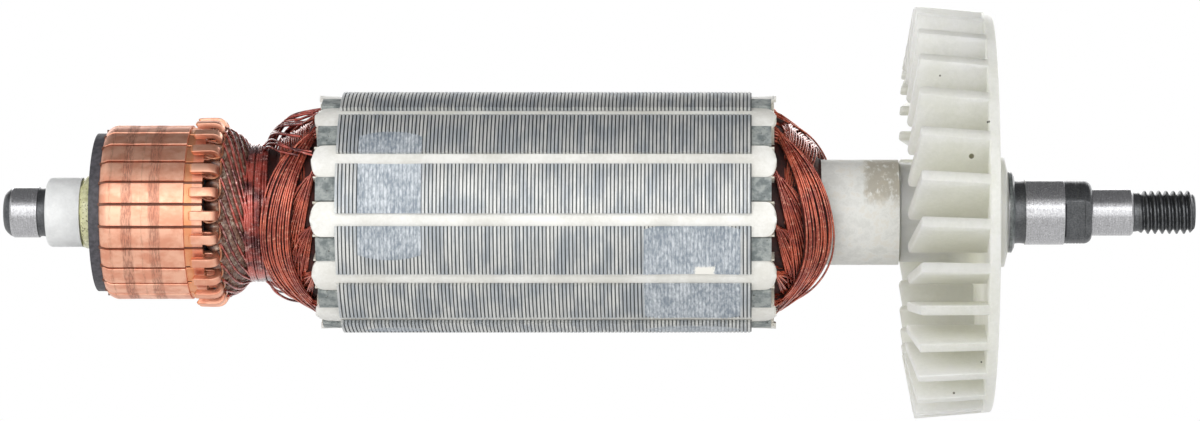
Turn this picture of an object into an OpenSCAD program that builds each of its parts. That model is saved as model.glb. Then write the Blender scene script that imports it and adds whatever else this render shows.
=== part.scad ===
// Armature of a small universal motor: shaft, commutator, wound core and fan.
// The shaft lies along X. The origin is the centre of the drive-end bearing journal,
// +X points to the threaded end and +Z is up. Sizes are in millimetres.

/* [Shaft] */
// Diameter of the journal for the drive-end bearing
drive_journal_d = 9; // [8:0.1:10.8]
// Length of that journal
drive_journal_len = 5.4; // [4:0.1:8]
// Diameter of the journal for the rear bearing
rear_journal_d = 7; // [5.6:0.1:7.4]
// Length of the rear journal, without its rounded end
rear_journal_len = 3.5; // [2.5:0.1:8]
// Length of the rounded rear end
rear_nose_len = 1.3; // [0.6:0.1:2]
// Diameter of the seat that carries the commutator and the collar
commutator_seat_d = 8; // [7.6:0.1:8.8]
// Diameter of the seat that carries the core and the sleeves
core_seat_d = 11; // [9:0.1:12]
// Diameter of the seat that carries the fan and its washer
fan_seat_d = 10; // [9.6:0.1:10.8]
// Diameter of the grinding relief beside the drive journal
relief_d = 8.66; // [7:0.02:8.68]
// Length of that relief
relief_len = 1.5; // [1:0.1:3]
// Diameter of the section with the wrench flats
flats_d = 8.66; // [7.4:0.02:8.68]
// Length of the section with the wrench flats, with its rounded end
flats_len = 3.9; // [3:0.1:8]
// Distance across the wrench flats
flats_across = 6.7; // [6.6:0.1:8]
// Diameter of the pinion seat
pinion_seat_d = 6.5; // [6.2:0.1:6.6]
// Length of the pinion seat
pinion_seat_len = 5.7; // [4:0.1:12]
// Outside diameter of the thread
thread_d = 6; // [5:0.5:6]
// Length of the thread, with its end chamfer
thread_len = 7.9; // [5:0.1:14]
// Length of the relief between pinion seat and thread
thread_relief_len = 0.7; // [0.4:0.1:2]

/* [Commutator] */
// Diameter of the brush track
track_d = 24.1; // [23.6:0.1:29]
// Length of the brush track
track_len = 11.6; // [9.6:0.1:16]
// Width of the turned strip between track and hooks
strip_len = 1.0; // [0.6:0.1:2]
// Depth of that strip
strip_depth = 0.3; // [0.1:0.1:0.6]
// Radial depth of a bar, without its foot
bar_depth = 2.1; // [1.6:0.1:2.4]
// Radial depth of the dovetail foot below a bar
foot_depth = 1.3; // [0.8:0.1:1.6]
// Width of the slits between the bars
slit_w = 0.4; // [0.3:0.05:0.8]
// Depth to which the slits are cleared
slit_depth = 0.5; // [0.2:0.1:1]
// Length of a hook along the shaft
hook_len = 4.3; // [3.6:0.1:6]
// Width of a hook
hook_w = 1.3; // [0.8:0.1:1.6]
// Height of the hooks above the brush track
hook_rise = 1.05; // [0.9:0.05:1.6]
// Thickness of the hook metal
hook_t = 0.8; // [0.6:0.05:0.9]
// Length of the dark ring in front of the bars
hub_ring_len = 1.5; // [1:0.1:3]
// Diameter of that ring
hub_ring_d = 21.9; // [20:0.1:23]

/* [Rear collar] */
// Outside diameter of the collar
collar_d = 9.6; // [9.4:0.1:14]
// Length of the collar
collar_len = 4.8; // [3:0.1:8]
// Radius of the collar's outer edge
collar_edge = 0.6; // [0.2:0.1:0.6]
// Outside diameter of the resin ring
resin_ring_d = 10; // [9.6:0.1:14]
// Length of the resin ring
resin_ring_len = 2.2; // [1.5:0.1:3]

/* [Core] */
// Diameter of the lamination stack
core_d = 33.4; // [31:0.1:40.4]
// Length of the lamination stack
core_len = 56.4; // [40:0.2:80]
// Width of a tooth
tooth_w = 3.2; // [2.8:0.1:3.6]
// Width of the slot openings
slot_opening = 1.75; // [1:0.05:2.6]
// Thickness of the tooth lips beside the openings
lip_t = 0.6; // [0.4:0.05:1]
// Extra thickness of the lips at their root
lip_taper = 0.45; // [0.2:0.05:0.6]
// Depth of a slot below the lips
slot_depth = 7.5; // [6.4:0.1:7.9]
// Thickness of the end insulators
end_insulator_t = 2.7; // [1:0.1:3]
// Depth by which the end insulators lie below the core's surface
end_insulator_inset = 0.65; // [0.4:0.05:1.5]

/* [Balance cuts] */
// Radius of the milling cutter
cutter_r = 26; // [15:1:40]
// Length of the cuts nearer the commutator
rear_cut_len = 8.65; // [4:0.05:12]
// Distance of those cuts from the core's rear face
rear_cut_offset = 7.35; // [5:0.05:12]
// Length of the cuts nearer the fan
front_cut_len = 13.1; // [4:0.1:15]
// Distance of those cuts from the core's front face
front_cut_offset = 8.05; // [7.6:0.05:14]

/* [Winding] */
// Width of a wound bundle where it crosses the core's end
bundle_w = 4.0; // [3:0.1:4.4]
// Length of the winding in front of the core
front_overhang = 11.36; // [10:0.02:16]
// Length of the winding behind the core
rear_overhang = 10.9; // [9.4:0.1:15]
// Depth of the front winding's rim below the core's surface
front_rim_inset = 2.1; // [1.8:0.1:3]
// Depth of the rear winding's rim below the core's surface
rear_rim_inset = 1.6; // [1.6:0.1:3]
// Thickness of the slot liners
liner_t = 0.25; // [0.15:0.05:0.4]
// Thickness of the slot wedges
wedge_t = 0.45; // [0.3:0.05:0.8]
// Length by which the wedges stand out of the core
wedge_stand_out = 3.4; // [1:0.1:3.6]
// Diameter of a lead wire
lead_d = 0.8; // [0.5:0.05:0.8]
// Length of the neck of leads
neck_len = 1.74; // [1.5:0.02:5]
// Diameter of the neck of leads
neck_d = 19.2; // [18:0.1:21]
// Length of the cone of leads between neck and hooks
cone_len = 2.9; // [2.4:0.1:6]

/* [Sleeves] */
// Outside diameter of the sleeves on the shaft
sleeve_d = 14.6; // [13:0.1:15]
// Length of the front sleeve that shows between winding and fan
sleeve_bare_len = 9; // [4:0.1:20]

/* [Fan] */
// Diameter of the fan over the free blade ends
fan_d = 57.2; // [48:0.1:70]
// Diameter of the fan's disc
disc_d = 55.4; // [46:0.1:68]
// Thickness of the disc
disc_t = 1.5; // [1:0.1:3]
// Length of the blades at the rim, with the disc
blade_len = 10.6; // [7:0.1:16]
// Thickness of a blade
blade_t = 1.35; // [0.8:0.05:1.8]
// Radius at which the blades begin
blade_inner_r = 20.1; // [14:0.1:22]
// Angle by which a blade's inner end leads its outer end
blade_sweep = 12.9; // [0:0.1:20]
// Length by which the blades' inner corners stand ahead of the outer ones
blade_rake = 1.6; // [0:0.1:2]
// Diameter of the fan's hub
hub_d = 13.8; // [12.8:0.1:16]
// Diameter of the boss behind the disc
boss_d = 15.3; // [13:0.1:20]
// Length of that boss
boss_len = 2.3; // [1:0.1:5]
// Length by which the hub stands ahead of the blades
hub_stand_out = 0.6; // [0:0.1:2]
// Diameter of the dished washer
washer_d = 11.2; // [11:0.1:14]
// Thickness of the dished washer
washer_t = 0.4; // [0.2:0.05:0.6]

/* [Fits] */
// Clearance between pieces that are pressed, moulded or laid together
fit = 0.02; // [0.01:0.01:0.04]
// Clearance around the wound bundles
wire_room = 0.2; // [0.1:0.05:0.3]

/* [Hidden] */
$fn = 96;

slots = 12;
slot_step = 360 / slots;
first_slot = -86.5;             // angle of the first slot, measured about the shaft
coil_pitch = 5;                 // slots between the two sides of a coil
coils = slots;
layers = coils / 2;             // the coils lie in opposite pairs, one over the other
bars = 24;
bar_step = 360 / bars;
first_bar = -87.8;
blades = 29;
first_blade = -86.8;

// Stations along the shaft, counted from the drive journal's centre
relief_rear = -drive_journal_len / 2 - relief_len;
fan_front = relief_rear - 0.9;
disc_front = fan_front - boss_len;
disc_rear = disc_front - disc_t;
blade_rear = disc_front - blade_len;
fan_rear = blade_rear - blade_rake - hub_stand_out;
winding_front = fan_rear - sleeve_bare_len;
core_front = winding_front - front_overhang;
core_rear = core_front - core_len;
neck_front = core_rear - rear_overhang - wire_room;
neck_rear = neck_front - neck_len;
hook_front = neck_rear - cone_len;
hook_rear = hook_front - hook_len;
track_front = hook_rear - strip_len;
track_rear = track_front - track_len;
hub_rear = track_rear - hub_ring_len;
hub_front = hook_front - 0.2;
collar_front = hub_rear - resin_ring_len;
collar_rear = collar_front - collar_len;
rear_relief_len = 1.2;
rear_journal_front = collar_rear - rear_relief_len;
rear_journal_rear = rear_journal_front - rear_journal_len;
shaft_rear = rear_journal_rear - rear_nose_len;
flats_rear = drive_journal_len / 2;
flats_front = flats_rear + flats_len;
pinion_front = flats_front + pinion_seat_len;
thread_rear = pinion_front + thread_relief_len;
shaft_front = thread_rear + thread_len;

// Radii
core_r = core_d / 2;
track_r = track_d / 2;
sleeve_r = sleeve_d / 2;
neck_r = neck_d / 2;
lip_r = core_r - lip_t;
shoulder_r = lip_r - lip_taper;
slot_floor_r = lip_r - slot_depth;
bar_under_r = track_r - bar_depth;
foot_r = bar_under_r - foot_depth;
hook_r = track_r + hook_rise;
end_insulator_r = core_r - end_insulator_inset;

coil_names = [for (i = [1 : coils]) str("coil_", i < 10 ? "0" : "", i)];
bar_names = [for (i = [1 : bars]) str("commutator_bar_", i < 10 ? "0" : "", i)];

// Turns a shape that was drawn about Z so that it lies about the shaft
module about_shaft() {
    rotate([0, 90, 0]) children();
}

// A turned piece, from its [radius, station] outline
module turned(outline) {
    about_shaft() rotate_extrude() polygon(outline);
}

// A plain ring between two stations
module ring(outer_r, inner_r, rear, front) {
    turned([[inner_r, rear], [outer_r, rear], [outer_r, front], [inner_r, front]]);
}

// Shaft

rear_end_r = 2.5;
rear_relief_r = rear_journal_d / 2 - 0.17;
thread_relief_r = thread_d / 2 - 0.35;
thread_chamfer = 0.8;
thread_end_chamfer = 0.5;
seat_chamfer = 0.3;
centre_hole_r = 1.1;
centre_hole_tip_r = 0.4;
centre_hole_depth = 1.3;
flats_angle = -71;              // direction of the first flat, measured about the shaft
flats_setback = 0.3;            // length between the drive journal and the flats
flats_round = 1.1;              // length of the rounded end of that section

module shaft() {
    color("silver") difference() {
        turned([
            [0, shaft_rear],
            [rear_end_r, shaft_rear],
            [rear_journal_d / 2, rear_journal_rear],
            [rear_journal_d / 2, rear_journal_front],
            [rear_relief_r, rear_journal_front],
            [rear_relief_r, collar_rear],
            [commutator_seat_d / 2, collar_rear],
            [commutator_seat_d / 2, hub_front],
            [core_seat_d / 2, hub_front],
            [core_seat_d / 2, fan_rear],
            [fan_seat_d / 2, fan_rear],
            [fan_seat_d / 2, relief_rear],
            [relief_d / 2, relief_rear],
            [relief_d / 2, -drive_journal_len / 2],
            [drive_journal_d / 2, -drive_journal_len / 2],
            [drive_journal_d / 2, drive_journal_len / 2],
            [flats_d / 2, flats_rear],
            [flats_d / 2, flats_front - flats_round],
            [pinion_seat_d / 2, flats_front],
            [pinion_seat_d / 2, pinion_front - seat_chamfer],
            [pinion_seat_d / 2 - seat_chamfer, pinion_front],
            [thread_relief_r, pinion_front],
            [thread_relief_r, thread_rear],
            [thread_d / 2 - thread_end_chamfer, thread_rear],
            [thread_d / 2, thread_rear + thread_end_chamfer],
            [thread_d / 2, shaft_front - thread_chamfer],
            [thread_d / 2 - thread_chamfer, shaft_front],
            [0, shaft_front]]);
        // Centre holes from turning
        translate([shaft_rear - fit, 0, 0])
            about_shaft() cylinder(r1 = centre_hole_r, r2 = centre_hole_tip_r, h = centre_hole_depth);
        translate([shaft_front + fit - centre_hole_depth, 0, 0])
            about_shaft() cylinder(r1 = centre_hole_tip_r, r2 = centre_hole_r, h = centre_hole_depth);
        // Wrench flats on both sides
        for (side = [0, 180])
            about_shaft() rotate(flats_angle + side)
                translate([flats_across / 2, -flats_d, flats_rear + flats_setback])
                    cube([flats_d, 2 * flats_d, flats_len]);
    }
}

// Pieces behind the commutator

module rear_collar() {
    bore_r = commutator_seat_d / 2 + fit;
    color("ivory") about_shaft() rotate_extrude() {
        translate([bore_r, collar_rear + collar_edge])
            square([collar_d / 2 - bore_r, collar_len - collar_edge]);
        translate([bore_r, collar_rear])
            square([collar_d / 2 - collar_edge - bore_r, collar_edge]);
        intersection() {
            translate([collar_d / 2 - collar_edge, collar_rear + collar_edge])
                circle(r = collar_edge);
            translate([bore_r, collar_rear]) square([collar_d / 2, collar_len]);
        }
    }
}

module resin_ring() {
    bore_r = commutator_seat_d / 2 + fit;
    bulge = 0.5;
    color("khaki") about_shaft() rotate_extrude() {
        translate([bore_r, collar_front + fit])
            square([resin_ring_d / 2 - bulge - bore_r, resin_ring_len - 2 * fit]);
        for (end = [collar_front + fit + bulge, hub_rear - fit - bulge])
            intersection() {
                translate([resin_ring_d / 2 - bulge, end]) circle(r = bulge);
                translate([bore_r, collar_front + fit])
                    square([resin_ring_d / 2, resin_ring_len - 2 * fit]);
            }
        translate([bore_r, collar_front + fit + bulge])
            square([resin_ring_d / 2 - bore_r, resin_ring_len - 2 * (fit + bulge)]);
    }
}

// Commutator

track_chamfer = 1.2;
track_chamfer_depth = 0.75;
foot_inset = 1.6;
foot_undercut = 0.8;
riser_len = 1.5;
tongue_depth = 0.85;
tongue_t = 0.6;

// [radius, station] of the dovetail under the bars, grown by a clearance
function foot_outline(room) = [
    [bar_under_r - room, track_rear - room],
    [bar_under_r - room, track_rear + foot_inset - room],
    [foot_r - room, track_rear + foot_inset - foot_undercut - room],
    [foot_r - room, track_front - foot_inset + foot_undercut + room],
    [bar_under_r - room, track_front - foot_inset + room],
    [bar_under_r - room, hook_rear + riser_len + room]];

// The bar itself: brush track, turned strip, riser and dovetail foot
module bar_body() {
    rotate_extrude(angle = bar_step, start = -bar_step / 2)
        polygon(concat(foot_outline(0), [
            [track_r + 0.1, hook_rear + riser_len],
            [track_r + 0.1, hook_rear],
            [track_r - strip_depth, hook_rear],
            [track_r - strip_depth, track_front],
            [track_r, track_front],
            [track_r, track_rear + track_chamfer],
            [track_r - track_chamfer_depth, track_rear]]));
}

// The hook: a tongue that leaves the bar, turns up and lies back over the riser
module bar_hook() {
    tongue_top = track_r - tongue_depth;
    eye_r = hook_r - hook_t;
    rotate([90, 0, 0]) linear_extrude(hook_w, center = true) polygon([
        [tongue_top - tongue_t, hook_rear + riser_len - 0.6],
        [tongue_top - tongue_t, hook_front - 0.4],
        [tongue_top - tongue_t + 0.4, hook_front],
        [hook_r - 0.6, hook_front],
        [hook_r - 0.18, hook_front - 0.18],
        [hook_r, hook_front - 0.6],
        [hook_r, hook_rear + 0.9],
        [hook_r - 0.25, hook_rear + 0.3],
        [hook_r - 0.65, hook_rear],
        [track_r, hook_rear],
        [track_r, hook_rear + riser_len - 0.4],
        [eye_r, hook_rear + riser_len - 0.1],
        [eye_r, hook_front - hook_t - 0.2],
        [eye_r - 0.2, hook_front - hook_t],
        [tongue_top, hook_front - hook_t],
        [tongue_top, hook_rear + riser_len - 0.6]]);
}

module commutator_bar(i) {
    color("peru") about_shaft() rotate(first_bar + bar_step * (i - 1)) {
        difference() {
            bar_body();
            for (side = [-1, 1])
                rotate(side * bar_step / 2)
                    translate([0, -slit_w / 2, track_rear - 1])
                        cube([track_r + 1, slit_w, track_len + strip_len + riser_len + 2]);
        }
        bar_hook();
    }
}

module commutator_hub() {
    bore_r = commutator_seat_d / 2 + fit;
    fin_t = slit_w - 2 * fit;
    nose_r = bar_under_r - 0.9;
    color("dimgray") {
        turned(concat(
            [[bore_r, hub_front - fit], [bore_r, hub_rear], [hub_ring_d / 2, hub_rear],
             [hub_ring_d / 2, track_rear - fit]],
            foot_outline(fit),
            [[nose_r, hook_rear + riser_len + 0.6], [nose_r, hub_front - fit]]));
        // Fins between the bars
        for (i = [0 : bars - 1])
            about_shaft() rotate(first_bar + bar_step * (i + 0.5))
                translate([foot_r - 1, -fin_t / 2, track_rear - 0.1])
                    cube([track_r - slit_depth - foot_r + 1, fin_t,
                          hook_rear + riser_len - track_rear]);
    }
}

// Core

// Half width of a slot at a distance from the shaft's axis, less a clearance
function slot_half_w(dist, room = 0) =
    dist * tan(slot_step / 2) - (tooth_w / 2 + room) / cos(slot_step / 2);

// Cross-section of a slot below a flat top, less a clearance all round
module slot_section(top_r, room) {
    low = slot_floor_r + 0.5;
    polygon([
        [low, -slot_half_w(low, room)],
        [top_r, -slot_half_w(top_r, room)],
        [top_r, slot_half_w(top_r, room)],
        [low, slot_half_w(low, room)]]);
    translate([low, 0]) circle(r = slot_half_w(low, room));
}

// The roof of a slot: it narrows from the slot's width to the opening
module slot_roof(top_r, drop, room) {
    polygon([
        [top_r - drop, -slot_half_w(shoulder_r, room)],
        [top_r, -slot_opening / 2],
        [top_r, slot_opening / 2],
        [top_r - drop, slot_half_w(shoulder_r, room)]]);
}

module all_slots() {
    for (i = [0 : slots - 1])
        rotate(first_slot + slot_step * i) children();
}

// One balance cut: the cutter's axis lies across the core
module balance_cut(station, length, angle, share = 1) {
    depth = (cutter_r - sqrt(pow(cutter_r, 2) - pow(length / 2, 2))) * share;
    about_shaft() rotate(angle)
        translate([core_r - depth + cutter_r, 0, station])
            rotate([90, 0, 0]) cylinder(r = cutter_r, h = core_r, center = true, $fn = 180);
}

rear_cut = core_rear + rear_cut_offset;
front_cut = core_front - front_cut_offset;

module lamination_stack() {
    color("slategray") difference() {
        about_shaft() translate([0, 0, core_rear]) linear_extrude(core_len) difference() {
            circle(r = core_r);
            circle(r = core_seat_d / 2 + fit);
            all_slots() {
                slot_section(shoulder_r, 0);
                slot_roof(lip_r, lip_taper, 0);
                translate([lip_r - 1, -slot_opening / 2]) square([lip_t + 2, slot_opening]);
            }
        }
        // The brightest cut, its neighbours and a shallow one on the far side
        balance_cut(rear_cut, rear_cut_len, -101.5);
        balance_cut(rear_cut, rear_cut_len, -124, 0.8);
        balance_cut(rear_cut, rear_cut_len, -76.5, 0.8);
        balance_cut(rear_cut, rear_cut_len, -12, 0.4);
        balance_cut(front_cut, front_cut_len, -68.7);
        balance_cut(front_cut, front_cut_len, -43.6, 0.8);
        balance_cut(front_cut, front_cut_len, -13, 0.4);
    }
}

module end_insulator(rear) {
    color("lightsteelblue") about_shaft()
        translate([0, 0, rear]) linear_extrude(end_insulator_t - fit) difference() {
            circle(r = end_insulator_r);
            circle(r = core_seat_d / 2 + fit);
            all_slots() slot_section(core_r + 1, 0);
        }
}

module rear_end_insulator() {
    end_insulator(core_rear - end_insulator_t);
}

module front_end_insulator() {
    end_insulator(core_front + fit);
}

liner_stand_out = wedge_stand_out - 0.3;
liner_top_r = shoulder_r - wedge_t - 2 * fit;

module slot_liners() {
    color("whitesmoke") about_shaft() all_slots()
        translate([0, 0, core_rear - liner_stand_out])
            linear_extrude(core_len + 2 * liner_stand_out) difference() {
                slot_section(liner_top_r, fit);
                slot_section(liner_top_r + 1, fit + liner_t);
            }
}

module slot_wedges() {
    half = slot_half_w(liner_top_r, fit);
    color("white") about_shaft() all_slots()
        translate([0, 0, core_rear - wedge_stand_out])
            linear_extrude(core_len + 2 * wedge_stand_out) polygon([
                [shoulder_r - fit, -half],
                [lip_r - fit, -slot_opening / 2],
                [lip_r - fit, slot_opening / 2],
                [shoulder_r - fit, half],
                [shoulder_r - wedge_t - fit, half],
                [lip_r - wedge_t - fit, slot_opening / 2],
                [lip_r - wedge_t - fit, -slot_opening / 2],
                [shoulder_r - wedge_t - fit, -half]]);
}

// Winding

// Each end of the winding is a dome of nested shells, and each pair of coils fills one.
// A shell's half outline is a superellipse about [dome_lift, dome_centre_r]: its rise is
// measured away from the core's end and its spread outwards from the shaft.
dome_power = 1.7;
dome_centre_r = 2;
dome_lift = wedge_stand_out + 1;
first_rise = 1.8;               // rise of the innermost shell
flat_share = 0.93;              // a shell counts as flat within this share of its spread
bundle_side = 0.375;            // half of a shell's share that a bundle takes
leg_steps = 7;
wrap_steps = 5;
side_low_r = slot_floor_r + 0.9;
side_high_r = liner_top_r - wire_room;
side_half = (side_high_r - side_low_r - wire_room) / 4;
side_mid_r = [side_low_r + side_half, side_high_r - side_half];

// Radius at which the bundles pass the shaft, for end 1 (front) or -1 (rear)
function pass_r(end) = (end > 0 ? sleeve_r : tail_r) + wire_room;

// Rise and spread of the shell at a layer number from 0, innermost, to layers, outermost
function rim_r(end) = core_r - (end > 0 ? front_rim_inset : rear_rim_inset);
function shell_spread(end, level) =
    let (inner = pass_r(end) + bundle_w - dome_centre_r,
         outer = rim_r(end) - dome_centre_r)
    inner + (outer - inner) * level / layers;
function full_rise(end) =
    let (reach = (pass_r(end) - dome_centre_r) / (rim_r(end) - dome_centre_r),
         height = (end > 0 ? front_overhang : rear_overhang) - dome_lift)
    height / pow(1 - pow(reach, dome_power), 1 / dome_power);
function shell_rise(end, level) = first_rise + (full_rise(end) - first_rise) * level / layers;

// A [height, radius, angle] point brought onto a shell: straight up or down where the shell
// is flat, towards the dome's centre where it bends, and sideways below the dome
function on_shell(end, level, point) =
    let (rise = shell_rise(end, level), spread = shell_spread(end, level),
         up = max(0, point[0] - dome_lift), out = max(0, point[1] - dome_centre_r),
         size = pow(pow(up / rise, dome_power) + pow(out / spread, dome_power), 1 / dome_power))
    out < flat_share * spread
        ? [dome_lift + rise * pow(1 - pow(out / spread, dome_power), 1 / dome_power),
           point[1], point[2]]
        : point[0] < dome_lift
            ? [point[0], dome_centre_r + spread, point[2]]
            : [dome_lift + up / size, dome_centre_r + out / size, point[2]];

// Centre line of a bundle from slot to slot, as [height, radius, angle]
function turn_line(end, layer) =
    let (span = coil_pitch * slot_step, mid = pass_r(end) + bundle_w / 2,
         rise = shell_rise(end, layer + 0.5), spread = shell_spread(end, layer + 0.5),
         base = dome_centre_r + spread,
         touch = acos(mid / base),
         last = acos(pow((mid - dome_centre_r) / spread, dome_power / 2)),
         leg = [for (i = [0 : leg_steps])
             let (turn = last * i / leg_steps,
                  rad = dome_centre_r + spread * pow(cos(turn), 2 / dome_power))
             [dome_lift + rise * pow(sin(turn), 2 / dome_power), rad,
              touch - acos(min(1, mid / rad))]],
         top = leg[leg_steps][0])
    concat(leg,
        [for (i = [1 : wrap_steps - 1])
            [top, mid, touch + (span - 2 * touch) * i / wrap_steps]],
        [for (i = [leg_steps : -1 : 0]) [leg[i][0], leg[i][1], span - leg[i][2]]]);

function to_space(end, point) = [
    point[1] * cos(point[2]), point[1] * sin(point[2]),
    end > 0 ? core_front + point[0] : core_rear - point[0]];

function to_dome(end, spot) = [
    end > 0 ? spot[2] - core_front : core_rear - spot[2],
    norm([spot[0], spot[1]]), atan2(spot[1], spot[0])];

function unit(v) = v / norm(v);

// Eight corners of a bundle's section: share of its width and of its thickness
bundle_corners = [[-1, 0.5], [-0.6, 1], [0.6, 1], [1, 0.5],
                  [1, -0.5], [0.6, -1], [-0.6, -1], [-1, -0.5]];

// A bundle's outward normal at a point of its shell
function shell_normal(end, layer, point) =
    let (rise = shell_rise(end, layer + 0.5), spread = shell_spread(end, layer + 0.5),
         up = pow(max(0, point[0] - dome_lift) / rise, dome_power - 1) / rise,
         out = pow((point[1] - dome_centre_r) / spread, dome_power - 1) / spread)
    unit([out * cos(point[2]), out * sin(point[2]), end * up]);

function turn_rings(end, layer, start, forward) =
    let (line = [for (p = turn_line(end, layer)) [p[0], p[1], p[2] + start]],
         ordered = forward ? line : [for (i = [len(line) - 1 : -1 : 0]) line[i]],
         spots = [for (p = ordered) to_space(end, p)],
         last = len(ordered) - 1)
    [for (i = [0 : last])
        let (along = unit(i == 0 ? [0, 0, end] : i == last ? [0, 0, -end]
                 : spots[i + 1] - spots[i - 1]),
             across = unit(cross(along, shell_normal(end, layer, ordered[i]))))
        [for (corner = bundle_corners)
            let (spot = spots[i] + across * corner[0] * bundle_w / 2)
            to_space(end, on_shell(end, layer + 0.5 + corner[1] * bundle_side,
                                   to_dome(end, spot)))]];

// A coil side's section where it leaves a slot; side is 0 at the floor and 1 at the top
function slot_ring(end, side, angle, heading) =
    [for (corner = bundle_corners)
        let (rad = side_mid_r[side] + corner[1] * side_half,
             half = slot_half_w(rad, fit + liner_t + fit) - 0.05,
             off = heading * half * sign(corner[0]) * (abs(corner[0]) == 1 ? 1 : 0.85),
             station = end > 0 ? core_front + wedge_stand_out - 0.2
                               : core_rear - wedge_stand_out + 0.2)
        [rad * cos(angle) - off * sin(angle), rad * sin(angle) + off * cos(angle), station]];

// One closed coil: front turn, second slot, rear turn, first slot
module wound_coil(layer, opposite) {
    start = first_slot + slot_step * (3 - layer + (opposite ? slots / 2 : 0));
    finish = start + coil_pitch * slot_step;
    start_side = layer == 0 ? 0 : 1;
    finish_side = layer == layers - 1 ? 1 : 0;
    rings = concat(
        turn_rings(1, layer, start, true),
        [slot_ring(1, finish_side, finish, -1), slot_ring(-1, finish_side, finish, -1)],
        turn_rings(-1, layer, start, false),
        [slot_ring(-1, start_side, start, 1), slot_ring(1, start_side, start, 1)]);
    sides = len(bundle_corners);
    color("sienna") about_shaft() polyhedron(
        [for (ring = rings) each ring],
        [for (i = [0 : len(rings) - 1], j = [0 : sides - 1])
            let (next = (i + 1) % len(rings), turn = (j + 1) % sides)
            [i * sides + j, i * sides + turn, next * sides + turn, next * sides + j]],
        convexity = 8);
}

// Leads

lead_sides = 8;
tail_wall = 0.9;
tail_r = sleeve_r + tail_wall;
cone_base_r = bar_under_r + 0.55;
cone_neck_r = neck_r - 0.95;

// Radius of the bonded cone at a station
function cone_r(station) =
    cone_base_r + (cone_neck_r - cone_base_r) * (station - hook_front) / cone_len;

// Route of a lead from the eye of its hook, as [along the hook's width, radius, station]
eye_station = (hook_rear + riser_len + hook_front - hook_t) / 2;
eye_mid_r = track_r - tongue_depth + lead_d / 2 + 0.1;
lead_route = [
    [-1.1, eye_mid_r, eye_station],
    [0.9, eye_mid_r, eye_station],
    [1.45, eye_mid_r, eye_station + 0.7],
    [1.7, max(eye_mid_r, cone_r(hook_front) + lead_d / 2 + 0.05), hook_front - 0.2],
    for (share = [0.35, 0.6, 0.85])
        [1.7 + share * 2.6, cone_r(hook_front + share * cone_len) + lead_d / 2 + 0.1,
         hook_front + share * cone_len]];

function lead_spot(point) =
    let (angle = point[0] / track_r * 180 / PI)
    [point[1] * cos(angle), point[1] * sin(angle), point[2]];

module lead() {
    spots = [for (point = lead_route) lead_spot(point)];
    last = len(spots) - 1;
    rings = [for (i = [0 : last])
        let (along = unit(spots[min(i + 1, last)] - spots[max(i - 1, 0)]),
             side = unit(cross(along, [spots[i][0], spots[i][1], 0])),
             up = cross(side, along))
        [for (j = [0 : lead_sides - 1])
            spots[i] + lead_d / 2 * (side * cos(360 * j / lead_sides)
                                     + up * sin(360 * j / lead_sides))]];
    polyhedron(
        [for (ring = rings) each ring],
        concat(
            [[for (j = [lead_sides - 1 : -1 : 0]) j]],
            [[for (j = [0 : lead_sides - 1]) last * lead_sides + j]],
            [for (i = [0 : last - 1], j = [0 : lead_sides - 1])
                let (turn = (j + 1) % lead_sides)
                [i * lead_sides + j, i * lead_sides + turn,
                 (i + 1) * lead_sides + turn, (i + 1) * lead_sides + j]]));
}

module lead_wires() {
    color("darkred") about_shaft()
        for (i = [0 : bars - 1]) rotate(first_bar + bar_step * i) lead();
}

module lead_bundle() {
    bore_r = sleeve_r + fit;
    color("saddlebrown") turned([
        [bore_r, hook_front + 0.1],
        [cone_base_r, hook_front + 0.1],
        [cone_neck_r, neck_rear],
        [neck_r, neck_rear],
        [neck_r, neck_front],
        [tail_r, neck_front],
        [tail_r, core_rear - end_insulator_t - wedge_stand_out],
        [bore_r, core_rear - end_insulator_t - wedge_stand_out]]);
}

// Sleeves

module rear_sleeve() {
    color("whitesmoke") ring(sleeve_r, core_seat_d / 2 + fit,
                             hub_front + fit, core_rear - end_insulator_t - fit);
}

module front_sleeve() {
    color("whitesmoke") ring(sleeve_r, core_seat_d / 2 + fit,
                             core_front + end_insulator_t + fit, fan_rear - fit);
}

// Fan

blade_outer_r = fan_d / 2;
cone_front_r = 12;

// Outline of one blade across the shaft: straight, with a rounded inner edge
module blade_section() {
    inner = blade_inner_r * [cos(blade_sweep), sin(blade_sweep)];
    outer = [blade_outer_r + 1, 0];
    reach = outer - inner;
    translate(inner) rotate(atan2(reach[1], reach[0])) {
        translate([blade_t / 2, -blade_t / 2]) square([norm(reach), blade_t]);
        translate([blade_t / 2, 0]) circle(r = blade_t / 2);
    }
}

module fan() {
    bore_r = fan_seat_d / 2 + fit;
    color("ghostwhite") {
        // Hub, disc and boss, turned in one outline
        turned([
            [bore_r, fan_rear],
            [hub_d / 2, fan_rear],
            [hub_d / 2, disc_rear - 5],
            [cone_front_r, disc_rear],
            [disc_d / 2, disc_rear],
            [disc_d / 2, disc_front],
            [boss_d / 2, disc_front],
            [boss_d / 2, fan_front - 0.5],
            [boss_d / 2 - 0.5, fan_front],
            [bore_r, fan_front]]);
        // Blades, trimmed to the rim's taper and the raked free edge
        intersection() {
            about_shaft() translate([0, 0, blade_rear - blade_rake])
                linear_extrude(blade_len + blade_rake - disc_t / 2)
                    for (i = [0 : blades - 1])
                        rotate(first_blade + 360 / blades * i) blade_section();
            turned([
                [blade_inner_r - 1, blade_rear - blade_rake],
                [blade_inner_r, blade_rear - blade_rake],
                [blade_outer_r, blade_rear],
                [disc_d / 2, disc_front],
                [blade_inner_r - 1, disc_front]]);
        }
    }
}

module fan_washer() {
    bore_r = fan_seat_d / 2 + fit;
    dish = 0.3;
    color("darkslategray") turned([
        [bore_r, relief_rear - washer_t - fit],
        [bore_r, relief_rear - fit],
        [washer_d / 2, relief_rear - dish - fit],
        [washer_d / 2, relief_rear - dish - washer_t - fit]]);
}

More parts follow.
